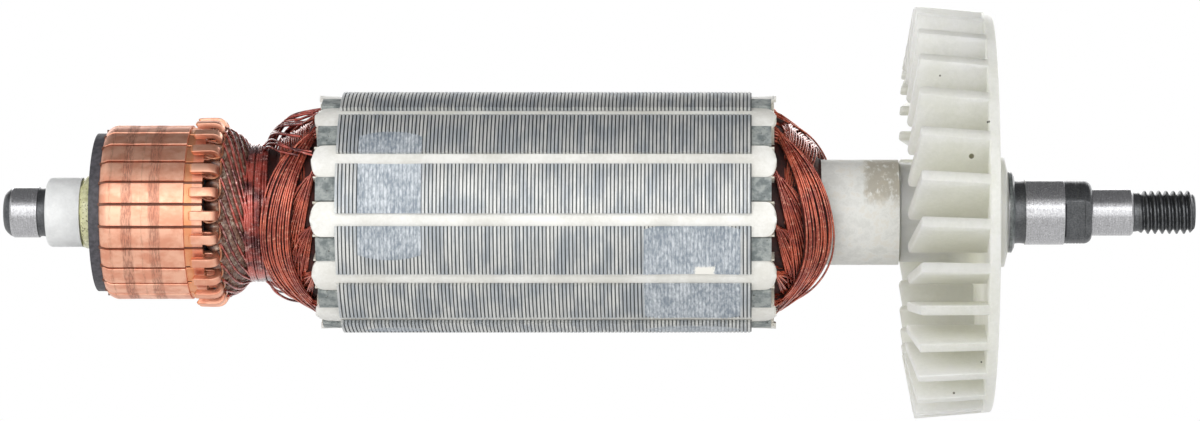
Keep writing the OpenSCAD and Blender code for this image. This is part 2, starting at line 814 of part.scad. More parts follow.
shaft();
rear_collar();
resin_ring();
commutator_hub();
for (i = [1 : bars])
    commutator_bar(i);
lead_wires();
lead_bundle();
rear_sleeve();
rear_end_insulator();
lamination_stack();
slot_liners();
slot_wedges();
front_end_insulator();
for (i = [0 : coils - 1])
    wound_coil(floor(i / 2), i % 2 == 1);
front_sleeve();
fan();
fan_washer();
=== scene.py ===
import math

import bpy
import numpy as np
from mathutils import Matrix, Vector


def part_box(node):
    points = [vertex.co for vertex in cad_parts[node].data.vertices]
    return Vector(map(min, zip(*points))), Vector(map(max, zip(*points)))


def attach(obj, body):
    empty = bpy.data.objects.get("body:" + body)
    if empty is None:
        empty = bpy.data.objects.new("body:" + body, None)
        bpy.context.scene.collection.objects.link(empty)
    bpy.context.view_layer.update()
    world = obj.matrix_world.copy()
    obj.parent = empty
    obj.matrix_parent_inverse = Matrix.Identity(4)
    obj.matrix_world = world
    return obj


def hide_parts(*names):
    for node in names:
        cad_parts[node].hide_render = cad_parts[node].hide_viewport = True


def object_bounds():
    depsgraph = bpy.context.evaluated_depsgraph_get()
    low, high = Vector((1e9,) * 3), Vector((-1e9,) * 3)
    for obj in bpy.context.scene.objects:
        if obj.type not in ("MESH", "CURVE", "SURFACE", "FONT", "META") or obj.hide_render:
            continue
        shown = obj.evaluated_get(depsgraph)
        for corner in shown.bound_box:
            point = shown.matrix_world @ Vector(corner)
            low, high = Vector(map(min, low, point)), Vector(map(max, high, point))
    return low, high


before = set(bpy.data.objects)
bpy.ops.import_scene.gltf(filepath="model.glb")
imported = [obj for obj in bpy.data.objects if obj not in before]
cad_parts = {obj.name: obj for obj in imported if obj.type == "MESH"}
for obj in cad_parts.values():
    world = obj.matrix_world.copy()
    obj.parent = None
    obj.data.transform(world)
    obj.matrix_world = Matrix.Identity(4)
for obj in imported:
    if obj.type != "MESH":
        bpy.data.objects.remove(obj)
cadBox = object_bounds()
print("stage: frame loaded")

# Lengths are in millimetres here, and every piece is made in metres.
mm = 0.001


def millimetres(node):
    return np.array(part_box(node)) / mm


# Points from stations along the shaft, radii and angles. The angle runs from the front, 0,
# towards the floor, 90.
def polar(station, radius, angle):
    station, radius, angle = np.broadcast_arrays(station, radius, angle)
    turn = np.radians(angle)
    return np.stack([station, -radius * np.cos(turn), -radius * np.sin(turn)], axis=-1)


def gridQuads(rows, columns, wrapRows=False, wrapColumns=False):
    i = np.arange(rows if wrapRows else rows - 1)[:, None]
    j = np.arange(columns if wrapColumns else columns - 1)[None, :]
    nextI, nextJ = (i + 1) % rows, (j + 1) % columns
    corners = [i * columns + j, i * columns + nextJ, nextI * columns + nextJ, nextI * columns + j]
    return np.stack(np.broadcast_arrays(*corners), -1).reshape(-1, 4)


def placed(name, data):
    item = bpy.data.objects.new(name, data)
    bpy.context.collection.objects.link(item)
    return item


# One closed shell, with its faces turned outwards
class Shell:
    def __init__(self, points, quads, ends=()):
        self.points = np.asarray(points, float).reshape(-1, 3)
        self.quads = np.asarray(quads, int).reshape(-1, 4)
        self.ends = [list(end) for end in ends]
        a, b, c, d = (self.points[self.quads[:, k]] for k in range(4))
        volume = np.sum(a * np.cross(b, c)) + np.sum(a * np.cross(c, d))
        for end in self.ends:
            p = self.points[end]
            volume += sum(p[0] @ np.cross(p[k], p[k + 1]) for k in range(1, len(end) - 1))
        if volume < 0:
            self.quads = self.quads[:, ::-1]
            self.ends = [end[::-1] for end in self.ends]


# A grid of points closed round its columns, with flat end faces
def tubeShell(grid, closed=False):
    rows, columns = grid.shape[:2]
    quads = gridQuads(rows, columns, wrapRows=closed, wrapColumns=True)
    last = (rows - 1) * columns
    ends = [] if closed else [list(range(columns))[::-1], [last + j for j in range(columns)]]
    return Shell(grid, quads, ends)


def makeMesh(name, shells):
    points = np.concatenate([shell.points for shell in shells]) * mm
    faces, start = [], 0
    for shell in shells:
        faces.extend((shell.quads + start).tolist())
        faces.extend([[index + start for index in end] for end in shell.ends])
        start += len(shell.points)
    mesh = bpy.data.meshes.new(name)
    mesh.from_pydata(points.tolist(), [], faces)
    return mesh


# One solid from a body and the shells that grow out of it
def unitedMesh(name, body, grown):
    items = []
    for part, shells in (("Body", [body]), ("Grown", grown)):
        items.append(placed(name + part, makeMesh(name + part, shells)))
    union = items[0].modifiers.new("union", "BOOLEAN")
    union.operation = "UNION"
    union.solver = "MANIFOLD"
    union.object = items[1]
    graph = bpy.context.evaluated_depsgraph_get()
    mesh = bpy.data.meshes.new_from_object(items[0].evaluated_get(graph))
    mesh.name = name
    mesh.materials.clear()
    for item in items:
        bpy.data.meshes.remove(item.data)
    return mesh


def makePiece(name, shells, material, replaced=(), sharp=35, united=False):
    mesh = unitedMesh(name, shells[0], shells[1:]) if united else makeMesh(name, shells)
    mesh.polygons.foreach_set("use_smooth", [True] * len(mesh.polygons))
    mesh.set_sharp_from_angle(angle=math.radians(sharp))
    mesh.materials.append(material)
    piece = placed(name, mesh)
    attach(piece, "root")
    if replaced:
        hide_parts(*replaced)


# Soft irregularity from a few sine waves, between about -1 and 1
def wobble(values, seed, waves=4, longest=1.0):
    rng = np.random.default_rng(seed)
    total = 0
    for k in range(waves):
        phase = values * 2 * math.pi * (k + 1) / longest + rng.uniform(0, 7)
        total = total + np.sin(phase) / (k + 1)
    return total / 1.6


# Turned piece from its [station, radius] outline; a closed outline makes a ring
def turned(outline, steps=128, ring=False, change=None, angles=None):
    outline = np.asarray(outline, float)
    angles = np.arange(steps) * 360 / steps if angles is None else np.array(angles)
    stations = np.repeat(outline[:, :1], len(angles), axis=1)
    radii = np.repeat(outline[:, 1:], len(angles), axis=1)
    turns = np.repeat(angles[None, :], len(outline), axis=0)
    if change is not None:
        stations, radii = change(stations, radii, turns)
    return tubeShell(polar(stations, radii, turns), closed=ring)


# Round wires along paths of shape (wires, steps, 3), with a reference direction at each step
def wireShells(paths, reference, diameter, sides=6, closed=False):
    if closed:
        along = np.roll(paths, -1, axis=1) - np.roll(paths, 1, axis=1)
    else:
        along = np.gradient(paths, axis=1)
    along = along / np.linalg.norm(along, axis=-1, keepdims=True)
    side = np.cross(along, reference)
    side = side / np.linalg.norm(side, axis=-1, keepdims=True)
    up = np.cross(side, along)
    turn = np.arange(sides) * 2 * math.pi / sides
    ring = (side[:, :, None, :] * np.cos(turn)[None, None, :, None]
            + up[:, :, None, :] * np.sin(turn)[None, None, :, None])
    thick = np.broadcast_to(np.asarray(diameter, float), paths.shape[:2])[:, :, None, None] / 2
    grids = paths[:, :, None, :] + ring * thick
    return [tubeShell(grid, closed) for grid in grids]


def rounded(paths, passes=2, closed=False):
    for _ in range(passes):
        if closed:
            paths = (np.roll(paths, 1, axis=1) + 2 * paths + np.roll(paths, -1, axis=1)) / 4
        else:
            inner = (paths[:, :-2] + 2 * paths[:, 1:-1] + paths[:, 2:]) / 4
            paths = np.concatenate([paths[:, :1], inner, paths[:, -1:]], axis=1)
    return paths


# A value of a shader: arithmetic on it adds Math nodes
class Signal:
    def __init__(self, sheet, socket):
        self.sheet = sheet
        self.socket = socket

    def __add__(self, other):
        return self.sheet.maths("ADD", self, other)

    def __sub__(self, other):
        return self.sheet.maths("SUBTRACT", self, other)

    def __rsub__(self, other):
        return self.sheet.maths("SUBTRACT", other, self)

    def __mul__(self, other):
        return self.sheet.maths("MULTIPLY", self, other)

    def __truediv__(self, other):
        return self.sheet.maths("DIVIDE", self, other)

    def __rtruediv__(self, other):
        return self.sheet.maths("DIVIDE", other, self)

    __radd__ = __add__
    __rmul__ = __mul__


# Display colour, 0 to 255, as the linear colour that a node takes
def colour(red, green, blue):
    return tuple(((c / 255 + 0.055) / 1.055) ** 2.4 if c > 10 else c / 255 / 12.92
                 for c in (red, green, blue)) + (1.0,)


# One node tree, emptied, and the few node helpers that all finishes use
class Sheet:
    def __init__(self, tree):
        self.tree = tree
        self.tree.nodes.clear()

    # Settings come first, then the values or links of the sockets
    def node(self, kind, settings, values, output=0):
        item = self.tree.nodes.new(kind)
        for key, value in settings.items():
            if key == "stops":
                while len(item.color_ramp.elements) < len(value):
                    item.color_ramp.elements.new(0.5)
                for element, (position, shade) in zip(item.color_ramp.elements, value):
                    element.position = position
                    element.color = shade
            else:
                setattr(item, key, value)
        for key, value in values.items():
            if isinstance(value, Signal):
                self.tree.links.new(value.socket, item.inputs[key])
            else:
                item.inputs[key].default_value = value
        return item if output is None else Signal(self, item.outputs[output])

    def maths(self, operation, first, second=0.0):
        return self.node("ShaderNodeMath", {"operation": operation}, {0: first, 1: second})

    def root(self, value):
        return self.maths("SQRT", self.maths("MAXIMUM", value, 0.0))

    # 1 for the eye and for reflections, 0 for the light that is given off
    def seen(self):
        path = self.node("ShaderNodeLightPath", {}, {}, None)
        return sum((Signal(self, path.outputs[kind]) for kind in (
            "Is Glossy Ray", "Is Transmission Ray")), Signal(self, path.outputs["Is Camera Ray"]))


# One material, with the place on it in millimetres
class Finish(Sheet):
    def __init__(self, name):
        self.material = bpy.data.materials.new(name)
        self.material.use_nodes = True
        super().__init__(self.material.node_tree)
        self.place = self.node("ShaderNodeTexCoord", {}, {}, "Object")
        split = self.node("ShaderNodeSeparateXYZ", {}, {"Vector": self.place}, None)
        self.x, self.y, self.z = (Signal(self, split.outputs[axis]) * 1000 for axis in "XYZ")

    def fromAxis(self):
        return self.root(self.y * self.y + self.z * self.z)

    # 0 below low and 1 above high
    def rise(self, value, low, high):
        return self.node("ShaderNodeMapRange", {"interpolation_type": "SMOOTHSTEP"},
                         {"Value": value, "From Min": low, "From Max": high})

    def fall(self, value, low, high):
        return 1 - self.rise(value, low, high)

    def band(self, value, low, high, soft):
        return (self.rise(value, low - soft, low + soft)
                * self.fall(value, high - soft, high + soft))

    # Noise with its grain stretched by a scale for each axis, in millimetres
    def noise(self, grain, detail=3.0, roughness=0.55):
        stretched = self.node("ShaderNodeVectorMath", {"operation": "MULTIPLY"},
                              {0: self.place, 1: tuple(1000 / g for g in grain)})
        return self.node("ShaderNodeTexNoise", {}, {
            "Vector": stretched, "Scale": 1.0, "Detail": detail, "Roughness": roughness})

    def ramp(self, value, stops):
        return self.node("ShaderNodeValToRGB", {"stops": stops}, {"Fac": value})

    def mix(self, factor, first, second):
        return self.node("ShaderNodeMix", {"data_type": "RGBA"},
                         {0: factor, 6: first, 7: second}, 2)

    # From one of a look's tones to another
    def tones(self, factor, look, first, second):
        return self.mix(factor, colour(*look[first]), colour(*look[second]))

    def bump(self, height, depth):
        return self.node("ShaderNodeBump", {}, {"Height": height, "Strength": 1.0,
                                                "Distance": depth * mm})

    def surface(self, **values):
        names = {key.replace("_", " "): value for key, value in values.items()}
        body = self.node("ShaderNodeBsdfPrincipled", {}, names)
        self.node("ShaderNodeOutputMaterial", {}, {"Surface": body}, None)
        return self.material


# Copper of the commutator: brush wear in bands, fine turning lines, an orange strip
def copperFinish():
    look = {"bright": (244, 188, 160), "middle": (226, 158, 130), "worn": (138, 88, 76),
            "strip": (226, 146, 78), "scratch": (120, 66, 50)}
    f = Finish("turnedCopper")
    lines = f.noise((0.09, 2.5, 2.5), 4)
    cloud = f.noise((2.4, 1.6, 1.6), 3)
    tone = f.tones(f.rise(cloud, 0.35, 0.65), look, "middle", "bright")
    edge = f.noise((0.5, 3.0, 3.0), 3) * 0.6 - 0.3
    along = f.x + edge
    streaks = f.rise(f.noise((0.16, 1.1, 1.1), 5, 0.7), 0.42, 0.6)
    wear = f.band(along, -126.5, -125.1, 0.2) + f.band(along, -122.8, -121.3, 0.15) * 0.9
    faint = f.band(along, -128.2, -127.9, 0.15) * 0.5 + f.band(along, -123.9, -123.6, 0.15) * 0.4
    tone = f.mix((wear * 0.24 + wear * streaks * 0.6 + faint * streaks) * 0.8, tone,
                 colour(*look["worn"]))
    tone = f.mix(f.band(f.x, -117.95, -116.9, 0.06) * 0.5, tone, colour(*look["strip"]))
    scratches = f.rise(f.noise((0.05, 1.7, 1.7), 2), 0.66, 0.74)
    tone = f.mix(scratches * 0.35, tone, colour(*look["scratch"]))
    normal = f.bump(lines + cloud * 0.6, 0.012)
    return f.surface(Base_Color=tone, Metallic=0.9, Roughness=wear * 0.1 + lines * 0.12 + 0.36,
                     Normal=normal)


# Enamelled winding wire, varnished: red-brown with darker and more orange stretches, and pale
# patches of painted highlight
def wireFinish(name, bright, middle, dark):
    f = Finish(name)
    cloud = f.noise((3.0, 3.0, 3.0), 3)
    fine = f.noise((0.8, 0.5, 0.5), 4, 0.6)
    tone = f.mix(f.rise(cloud, 0.36, 0.66), colour(*dark), colour(*middle))
    # Small pale pink patches of the bright tone: painted highlight on the wires
    tone = f.mix(f.rise(fine, 0.5, 0.75) * 0.6, tone, colour(*bright))
    return f.surface(Base_Color=tone, Metallic=0.5, Roughness=fine * 0.14 + 0.18,
                     Coat_Weight=0.7, Coat_Roughness=0.1, Normal=f.bump(fine, 0.006))


# Resin between the leads, with the marks of the wires pressed into it
def resinFinish():
    f = Finish("leadResin")
    cloud = f.noise((1.1, 0.8, 0.8), 4, 0.65)
    fine = f.noise((0.35, 0.35, 0.35), 4, 0.7)
    tone = f.ramp(cloud, [(0.3, colour(84, 44, 36)), (0.5, colour(142, 104, 86)),
                          (0.68, colour(204, 186, 166))])
    tone = f.mix(f.rise(fine, 0.5, 0.62) * 0.7, tone, colour(78, 40, 34))
    # Near-black at the hook end, between the hooks: painted shade in the recesses
    tone = f.mix(f.fall(f.x, -114.3, -113.6), tone, colour(52, 30, 24))
    return f.surface(Base_Color=tone, Roughness=fine * 0.3 + 0.3, Coat_Weight=0.4,
                     Coat_Roughness=0.2, Normal=f.bump(fine, 0.05))


# One balance cut, as the share of the surface that the cutter left bare. Swell takes a point
# in the cut back out to the surface that was there before.
def milledMask(f, cut, swell):
    turn = math.radians(cut["angle"])
    reach = (f.y * -math.cos(turn) + f.z * -math.sin(turn)) * swell
    off = f.x - cut["station"]
    up = reach - cut["axis"]
    distance = f.root(off * off + up * up)
    ends = f.fall(f.maths("ABSOLUTE", off), cut["half"] - 0.03, cut["half"] + 0.03)
    return f.fall(distance, cut["radius"] - 0.01, cut["radius"] + 0.01) * ends


# Edges of the stamped sheets, bare where the balance cuts ran
def coreFinish(cuts, sheet):
    # The groove tone is painted shade in the grooves between the sheets
    look = {"light": (222, 223, 220), "blue": (184, 190, 195), "groove": (62, 65, 66),
            "milled": (216, 221, 225), "milledDark": (136, 146, 156)}
    f = Finish("coreSheets")
    cloud = f.noise((2.6, 5.0, 5.0), 3)
    single = f.noise((0.5, 9.0, 9.0), 2, 0.8)
    speckle = f.noise((0.16, 0.16, 0.16), 3, 0.7)
    tone = f.tones(f.rise(cloud + single * 0.5, 0.6, 0.95), look, "light", "blue")
    tone = f.mix(f.rise(single, 0.3, 0.75) * 0.3, tone, colour(128, 132, 134))
    tone = f.mix(f.rise(speckle, 0.45, 0.8) * 0.35, tone, colour(120, 118, 112))
    phase = (f.x - sheet["rear"]) / sheet["pitch"]
    share = phase - f.maths("FLOOR", phase)
    groove = f.rise(share, sheet["crest"] - 0.06, sheet["crest"] + 0.04)
    reach = f.fromAxis()
    swell = sheet["radius"] / reach
    milled = milledMask(f, cuts[0], swell)
    for cut in cuts[1:]:
        milled = f.maths("MAXIMUM", milled, milledMask(f, cut, swell))
    outside = f.rise(reach, sheet["radius"] - 1.3, sheet["radius"] - 1.0)
    # Grooves between the sheets painted dark, except on the bare cuts: painted shade
    tone = f.mix(groove * (1 - milled) * 0.92, tone, colour(*look["groove"]))
    scratch = f.noise((0.3, 0.9, 0.9), 3, 0.7)
    bare = f.tones(f.rise(scratch + cloud * 0.4, 0.5, 0.95), look, "milledDark", "milled")
    # Grooves on the bare cuts painted darker too: painted shade
    bare = f.mix(groove * 0.32, bare, colour(96, 106, 118))
    tone = f.mix(milled, tone, bare)
    torn = f.x + speckle * 1.6
    notch = f.band(torn, -47.5, -44.8, 0.1) * f.band(f.z + speckle, -8.3, -6.9, 0.1)
    tone = f.mix(notch * f.fall(f.y, -1.0, 0.0), tone, colour(236, 234, 226))
    # Half dark below the outer face, down the slots: painted shade
    tone = f.mix(outside * -0.5 + 0.5, tone, colour(70, 72, 74))
    normal = f.bump(speckle * 0.5 + f.noise((0.09, 0.5, 0.5), 3) * 0.6, 0.02)
    return f.surface(Base_Color=tone, Metallic=0.45 - milled * 0.25,
                     Roughness=speckle * 0.25 - milled * 0.04 + 0.38, Normal=normal)


# Ground, turned and blackened steel of the shaft, by station along it
def shaftFinish(at):
    f = Finish("shaftSteel")
    speckle = f.noise((0.2, 0.2, 0.2), 4, 0.75)
    lines = f.noise((0.05, 2.0, 2.0), 3)
    cloud = f.noise((1.2, 1.2, 1.2), 3)
    bright = f.ramp(speckle * 0.6 + lines * 0.4, [
        (0.3, colour(128, 128, 130)), (0.5, colour(176, 176, 178)), (0.7, colour(214, 214, 216))])
    dark = f.ramp(speckle * 0.7 + cloud * 0.3, [
        (0.3, colour(44, 46, 48)), (0.52, colour(84, 86, 88)), (0.75, colour(120, 122, 124))])
    dull = f.fall(f.x, at["nose"] - 0.04, at["nose"] + 0.04)
    for low, high in at["dull"]:
        dull = f.maths("MAXIMUM", dull, f.band(f.x, low, high, 0.04))
    tone = f.mix(dull * 0.92, bright, dark)
    marks = f.rise(f.noise((0.9, 0.7, 0.7), 5, 0.75), 0.62, 0.7)
    tone = f.mix(marks * 0.4, tone, colour(96, 92, 88))
    normal = f.bump(lines * 0.7 + speckle * 0.5, 0.02)
    return f.surface(Base_Color=tone, Metallic=0.9, Roughness=speckle * 0.18 + dull * 0.14 + 0.15,
                     Normal=normal)


# Mouldings, papers and films share one recipe: two tones, specks and a fine grain
def mattFinish(name, look):
    f = Finish(name)
    cloud = f.noise((look["cloud"],) * 3, 3)
    fine = f.noise((look["grain"],) * 3, 4, 0.65)
    tone = f.tones(f.rise(cloud * 0.7 + fine * 0.3, 0.35, 0.65), look, "low", "high")
    if "speck" in look:
        specks = f.rise(f.noise((look["speckSize"],) * 3, 2, 0.5), look["speckFrom"],
                        look["speckFrom"] + 0.03)
        tone = f.mix(specks * 0.85, tone, colour(*look["speck"]))
    if "edge" in look:
        tone = look["edge"](f, tone, cloud, fine)
    return f.surface(Base_Color=tone, Roughness=fine * 0.2 + look["roughness"],
                     Coat_Weight=look.get("coat", 0.0), Coat_Roughness=0.25,
                     Subsurface_Weight=look.get("milky", 0.0),
                     Subsurface_Radius=(1.0, 1.0, 0.85), Subsurface_Scale=0.012,
                     Normal=f.bump(fine, look["depth"]))


# Brown varnish that ran onto the sleeve beside the fan
def varnishPatch(f, tone, cloud, fine):
    ragged = f.noise((0.9, 1.6, 1.6), 5, 0.7)
    near = f.rise(f.x + ragged * 3.0, -23.9, -22.6)
    high = f.rise(f.z + ragged * 4.0, 2.4, 5.0)
    patch = near * high * f.rise(ragged, 0.34, 0.5)
    tone = f.mix(patch * 0.8, tone, colour(176, 168, 152))
    stain = f.rise(cloud + fine * 0.4, 0.72, 0.86)
    return f.mix(stain * 0.25, tone, colour(196, 184, 160))


# Copper dust over the tops of the hub's fins
def slitDust(f, tone, cloud, fine):
    high = f.rise(f.fromAxis(), 11.1, 11.2)
    return f.mix(high, tone, colour(112, 70, 52))


# Darker, browner colour deep between the blades towards the hub, which is painted shade, and a few
# dark marks
def fanShade(f, tone, cloud, fine):
    # Darker and browner towards the hub, deep between the blades: painted shade
    deep = f.fall(f.fromAxis(), 19.0, 27.0)
    tone = f.mix(deep * 0.35, tone, colour(202, 200, 176))
    for station, height, size in ((-11.2, 7.5, 0.34), (-8.9, 12.1, 0.14), (-9.4, -20.3, 0.12),
                                  (-13.0, -24.6, 0.16), (-15.2, 18.4, 0.13)):
        across, up = f.x - station, f.z - height
        spot = f.fall(f.root(across * across + up * up), size * 0.8, size * 1.2)
        tone = f.mix(spot * f.fall(f.y, -12.0, -11.0), tone, colour(64, 60, 52))
    return tone


# The camera stands square to the shaft, level with it, at the drive end of the core
def makeCamera():
    view = {"lens": 135.9, "sensor": 36.0, "distance": 628.9, "station": -40.6, "height": 0.25,
            "centre": -61.6}
    data = bpy.data.cameras.new("camera")
    data.lens = view["lens"]
    data.sensor_width = view["sensor"]
    data.shift_x = ((view["centre"] - view["station"]) / view["distance"]
                    * view["lens"] / view["sensor"])
    data.clip_start, data.clip_end = 0.01, 30
    camera = placed("camera", data)
    camera.location = (view["station"] * mm, -view["distance"] * mm, view["height"] * mm)
    camera.rotation_euler = (math.pi / 2, 0, 0)
    bpy.context.scene.camera = camera


# White for the eye and for reflections, plain grey for the light that it gives
def paleFinish(name, grey):
    f = Finish(name)
    plain = f.node("ShaderNodeBsdfDiffuse", {}, {"Color": (grey, grey, grey, 1)})
    white = f.node("ShaderNodeEmission", {}, {"Color": (1, 1, 1, 1), "Strength": 1.0})
    both = f.node("ShaderNodeMixShader", {},
                  {0: f.maths("MINIMUM", f.seen(), 1.0), 1: plain, 2: white})
    f.node("ShaderNodeOutputMaterial", {}, {"Surface": both}, None)
    return f.material


def makeWorld(light):
    world = bpy.data.worlds.new("studio")
    world.use_nodes = True
    sky = Sheet(world.node_tree)
    strength = sky.node("ShaderNodeMapRange", {},
                        {"Value": sky.seen(), "To Min": light, "To Max": 1.0})
    glow = sky.node("ShaderNodeBackground", {}, {"Color": (1, 1, 1, 1), "Strength": strength})
    sky.node("ShaderNodeOutputWorld", {}, {"Surface": glow}, None)
    bpy.context.scene.world = world


def makeStudio():
    studio = {"floorSize": 12.0, "floorDrop": 0.32, "worldLight": 0.95,
              "canopy": (3.4, 2.6), "canopyAt": (-0.06, 0.35, 0.95), "aim": (-0.06, 0, 0)}
    lamps = {
        "keyStrip": {"place": (-0.25, -0.98, 0.40), "size": (2.2, 0.22), "power": 3.6},
        "frontFill": {"place": (-0.08, -1.3, -0.2), "size": (2.2, 1.3), "power": 9},
        "underFill": {"place": (0.0, -0.75, -0.95), "size": (2.2, 0.8), "power": 8},
        "topLeft": {"place": (-0.9, -0.35, 0.75), "size": (0.7, 0.5), "power": 0.8},
        "backStrip": {"place": (0.2, 1.1, 0.45), "size": (2.2, 0.5), "power": 6},
    }

    def plane(name, size, place, material):
        half = (size[0] / 2, size[1] / 2)
        mesh = bpy.data.meshes.new(name)
        mesh.from_pydata([(-half[0], -half[1], 0), (half[0], -half[1], 0), (half[0], half[1], 0),
                          (-half[0], half[1], 0)], [], [(0, 1, 2, 3)])
        mesh.materials.append(material)
        item = placed(name, mesh)
        item.location = place
        return item

    lowest = cadBox[0][2]
    plane("floor", (studio["floorSize"],) * 2, (0, 0, lowest - studio["floorDrop"]),
          paleFinish("paleFloor", 0.8))
    dark = Finish("canopyCloth")
    weave = dark.noise((40, 40, 40), 2)
    cloth = dark.surface(Base_Color=dark.mix(weave, (0.18, 0.18, 0.185, 1), (0.24, 0.24, 0.25, 1)),
                         Roughness=1.0)
    canopy = plane("canopy", studio["canopy"], studio["canopyAt"], cloth)
    canopy.visible_camera = False
    for name, lamp in lamps.items():
        data = bpy.data.lights.new(name, "AREA")
        data.shape = "RECTANGLE"
        data.size, data.size_y = lamp["size"]
        data.energy = lamp["power"]
        item = placed(name, data)
        item.location = lamp["place"]
        aim = np.array(studio["aim"]) - np.array(lamp["place"])
        item.rotation_euler = (math.atan2(math.hypot(aim[0], aim[1]), -aim[2]), 0,
                               math.atan2(-aim[0], aim[1]))
    makeWorld(studio["worldLight"])
    bpy.context.scene.view_settings.view_transform = "Standard"


makeCamera()
makeStudio()
print("stage: camera and studio")

# Sizes of the frame that several pieces share, in millimetres and degrees
coreBox, fanBox = millimetres("lamination_stack"), millimetres("fan")
bundleRear = millimetres("lead_bundle")[0][0]
core = {"rear": coreBox[0][0], "front": coreBox[1][0], "radius": coreBox[1][2],
        "slots": 12, "firstSlot": 3.5, "toothWidth": 3.2, "opening": 1.75, "lip": 0.6,
        "lipTaper": 0.45, "slotDepth": 7.5}
core["lipRadius"] = core["radius"] - core["lip"]
core["shoulder"] = core["lipRadius"] - core["lipTaper"]
core["floorRadius"] = core["lipRadius"] - core["slotDepth"]
core["step"] = 360 / core["slots"]
hook = {"front": bundleRear - 0.1, "length": 4.3, "width": 1.3, "thickness": 0.8}
hook["rear"] = hook["front"] - hook["length"]
neck = {"rear": hook["front"] + 2.9, "front": core["rear"] - 11.1}
track = {"radius": 12.05, "front": hook["rear"] - 1.0, "rear": hook["rear"] - 12.6, "bars": 24,
         "firstBar": 2.2}
track["step"] = 360 / track["bars"]


def slotHalf(distance):
    half = math.radians(core["step"] / 2)
    return distance * math.tan(half) - core["toothWidth"] / 2 / math.cos(half)


# Shaft: journals, reliefs, wrench flats, pinion seat and thread
def makeShaft():
    shaft = {"rearJournal": 3.5, "rearRelief": 3.33, "seat": 4.0, "coreSeat": 5.5,
             "fanSeat": 5.0, "relief": 4.33, "journal": 4.5, "flats": 4.33, "flatHalf": 3.35,
             "flatAngle": 19.0, "pinionSeat": 3.25, "threadRelief": 2.65, "thread": 3.0,
             "pitch": 1.0, "threadDepth": 0.58, "crest": 0.14, "root": 0.2, "crestAt": 0.45}
    rear, front = millimetres("shaft")[:, 0]
    collarRear = millimetres("rear_collar")[0][0]
    journalRear = rear + 1.3
    journalFront = journalRear + 3.5
    reliefRear, journal = -4.2, 2.7
    flatsFront, pinionFront, threadRear = 6.6, 12.3, 13.0
    groove = np.linspace(-3.95, -2.95, 7)
    turnedOutline = [
        (rear, 0.001), (rear + 0.35, 0.5), (rear + 0.02, 1.05), (rear, 1.25), (rear, 2.3),
        (rear + 0.05, 2.46), (rear + 0.35, 2.86), (rear + 0.75, 3.2), (journalRear - 0.1, 3.44),
        (journalRear, shaft["rearJournal"]), (journalFront - 0.04, shaft["rearJournal"]),
        (journalFront, 3.47),
        (journalFront + 0.05, 3.34), (journalFront + 0.4, 3.3),
        (collarRear - 0.45, shaft["rearRelief"]),
        (collarRear - 0.2, 3.4), (collarRear, 3.45), (collarRear + 0.02, shaft["seat"]),
        (core["rear"] - 16, shaft["seat"]), (core["rear"] - 15.9, shaft["coreSeat"]),
        (fanBox[0][0], shaft["coreSeat"]), (fanBox[0][0] + 0.05, shaft["fanSeat"]),
        (reliefRear - 0.12, shaft["fanSeat"]), (reliefRear, shaft["fanSeat"] - 0.12),
        (reliefRear + 0.04, shaft["relief"] + 0.05)]
    turnedOutline += [(x, shaft["relief"] - 0.04 * math.sin((x + 3.95) * math.pi)) for x in groove]
    turnedOutline += [
        (-2.74, shaft["relief"]), (-2.7, 4.46), (-2.66, shaft["journal"]),
        (journal - 0.04, shaft["journal"]),
        (journal, 4.47), (journal + 0.03, shaft["flats"])]
    flatStations = np.arange(journal + 0.29, flatsFront - 1.0, 0.2)
    for x in flatStations:
        turnedOutline.append((x, shaft["flats"] + 0.03 * math.sin(x * 14)))
    shoulder = [(math.sin(t), math.cos(t)) for t in np.linspace(0, math.pi / 2, 9)]
    turnedOutline += [(flatsFront - 1.1 + 1.1 * s, 3.3 + (shaft["flats"] - 3.3) * c)
                      for s, c in shoulder[:-1]]
    turnedOutline += [
        (flatsFront + 0.05, 3.26), (flatsFront + 0.1, shaft["pinionSeat"]),
        (pinionFront - 0.3, shaft["pinionSeat"]),
        (pinionFront - 0.04, 3.02), (pinionFront, 2.9), (pinionFront + 0.08, 2.7),
        (threadRear - 0.2, 2.66)]
    turnedOutline += [(x, shaft["thread"])
                      for x in np.arange(threadRear - 0.1, front - 0.05, 1 / 14)]
    turnedOutline += [(front, 2.2), (front, 1.2), (front - 0.03, 1.1), (front - 0.5, 0.45),
                      (front - 0.55, 0.001)]

    def change(stations, radii, turns):
        phase = stations - turns / 360 * shaft["pitch"] - shaft["crestAt"] + 0.25
        fall = np.abs(phase - np.round(phase)) * 2
        height = np.clip((1 - shaft["crest"] - fall) / (1 - shaft["crest"] - shaft["root"]), 0, 1)
        thread = shaft["thread"] - shaft["threadDepth"] * (1 - height)
        inside = (stations > threadRear - 0.15) & (stations < front - 0.01)
        fade = np.clip((stations - threadRear + 0.15) / 1.1, 0, 1)
        thread = shaft["threadRelief"] + (thread - shaft["threadRelief"]) * fade
        thread = np.minimum(thread, 2.25 + (front - stations) * 1.0)
        radii = np.where(inside, thread, radii)
        onFlats = (stations > journal + 0.2) & (stations < flatsFront + 0.05)
        off = np.radians(turns - shaft["flatAngle"])
        flat = shaft["flatHalf"] / np.maximum(np.abs(np.cos(off)), 0.1)
        radii = np.where(onFlats, np.minimum(radii, flat), radii)
        return stations, radii

    edge = math.degrees(math.acos(shaft["flatHalf"] / shaft["flats"]))
    angles = sorted(set(np.arange(0, 360, 2.5).tolist()
                        + [(shaft["flatAngle"] + side + corner) % 360 for side in (0, 180)
                           for corner in (-edge, edge)]))
    shell = turned(turnedOutline, change=change, angles=angles)
    finish = shaftFinish({"nose": journalRear - 0.25, "dull": [
        (journalFront - 0.05, collarRear + 0.2), (reliefRear - 0.3, -2.72),
        (journal + 0.04, flatsFront - 0.1), (pinionFront - 0.04, front + 1)]})
    makePiece("shaft", [shell], finish, ["shaft"], 28)
    print("stage: shaft", len(turnedOutline), "rings")


makeShaft()


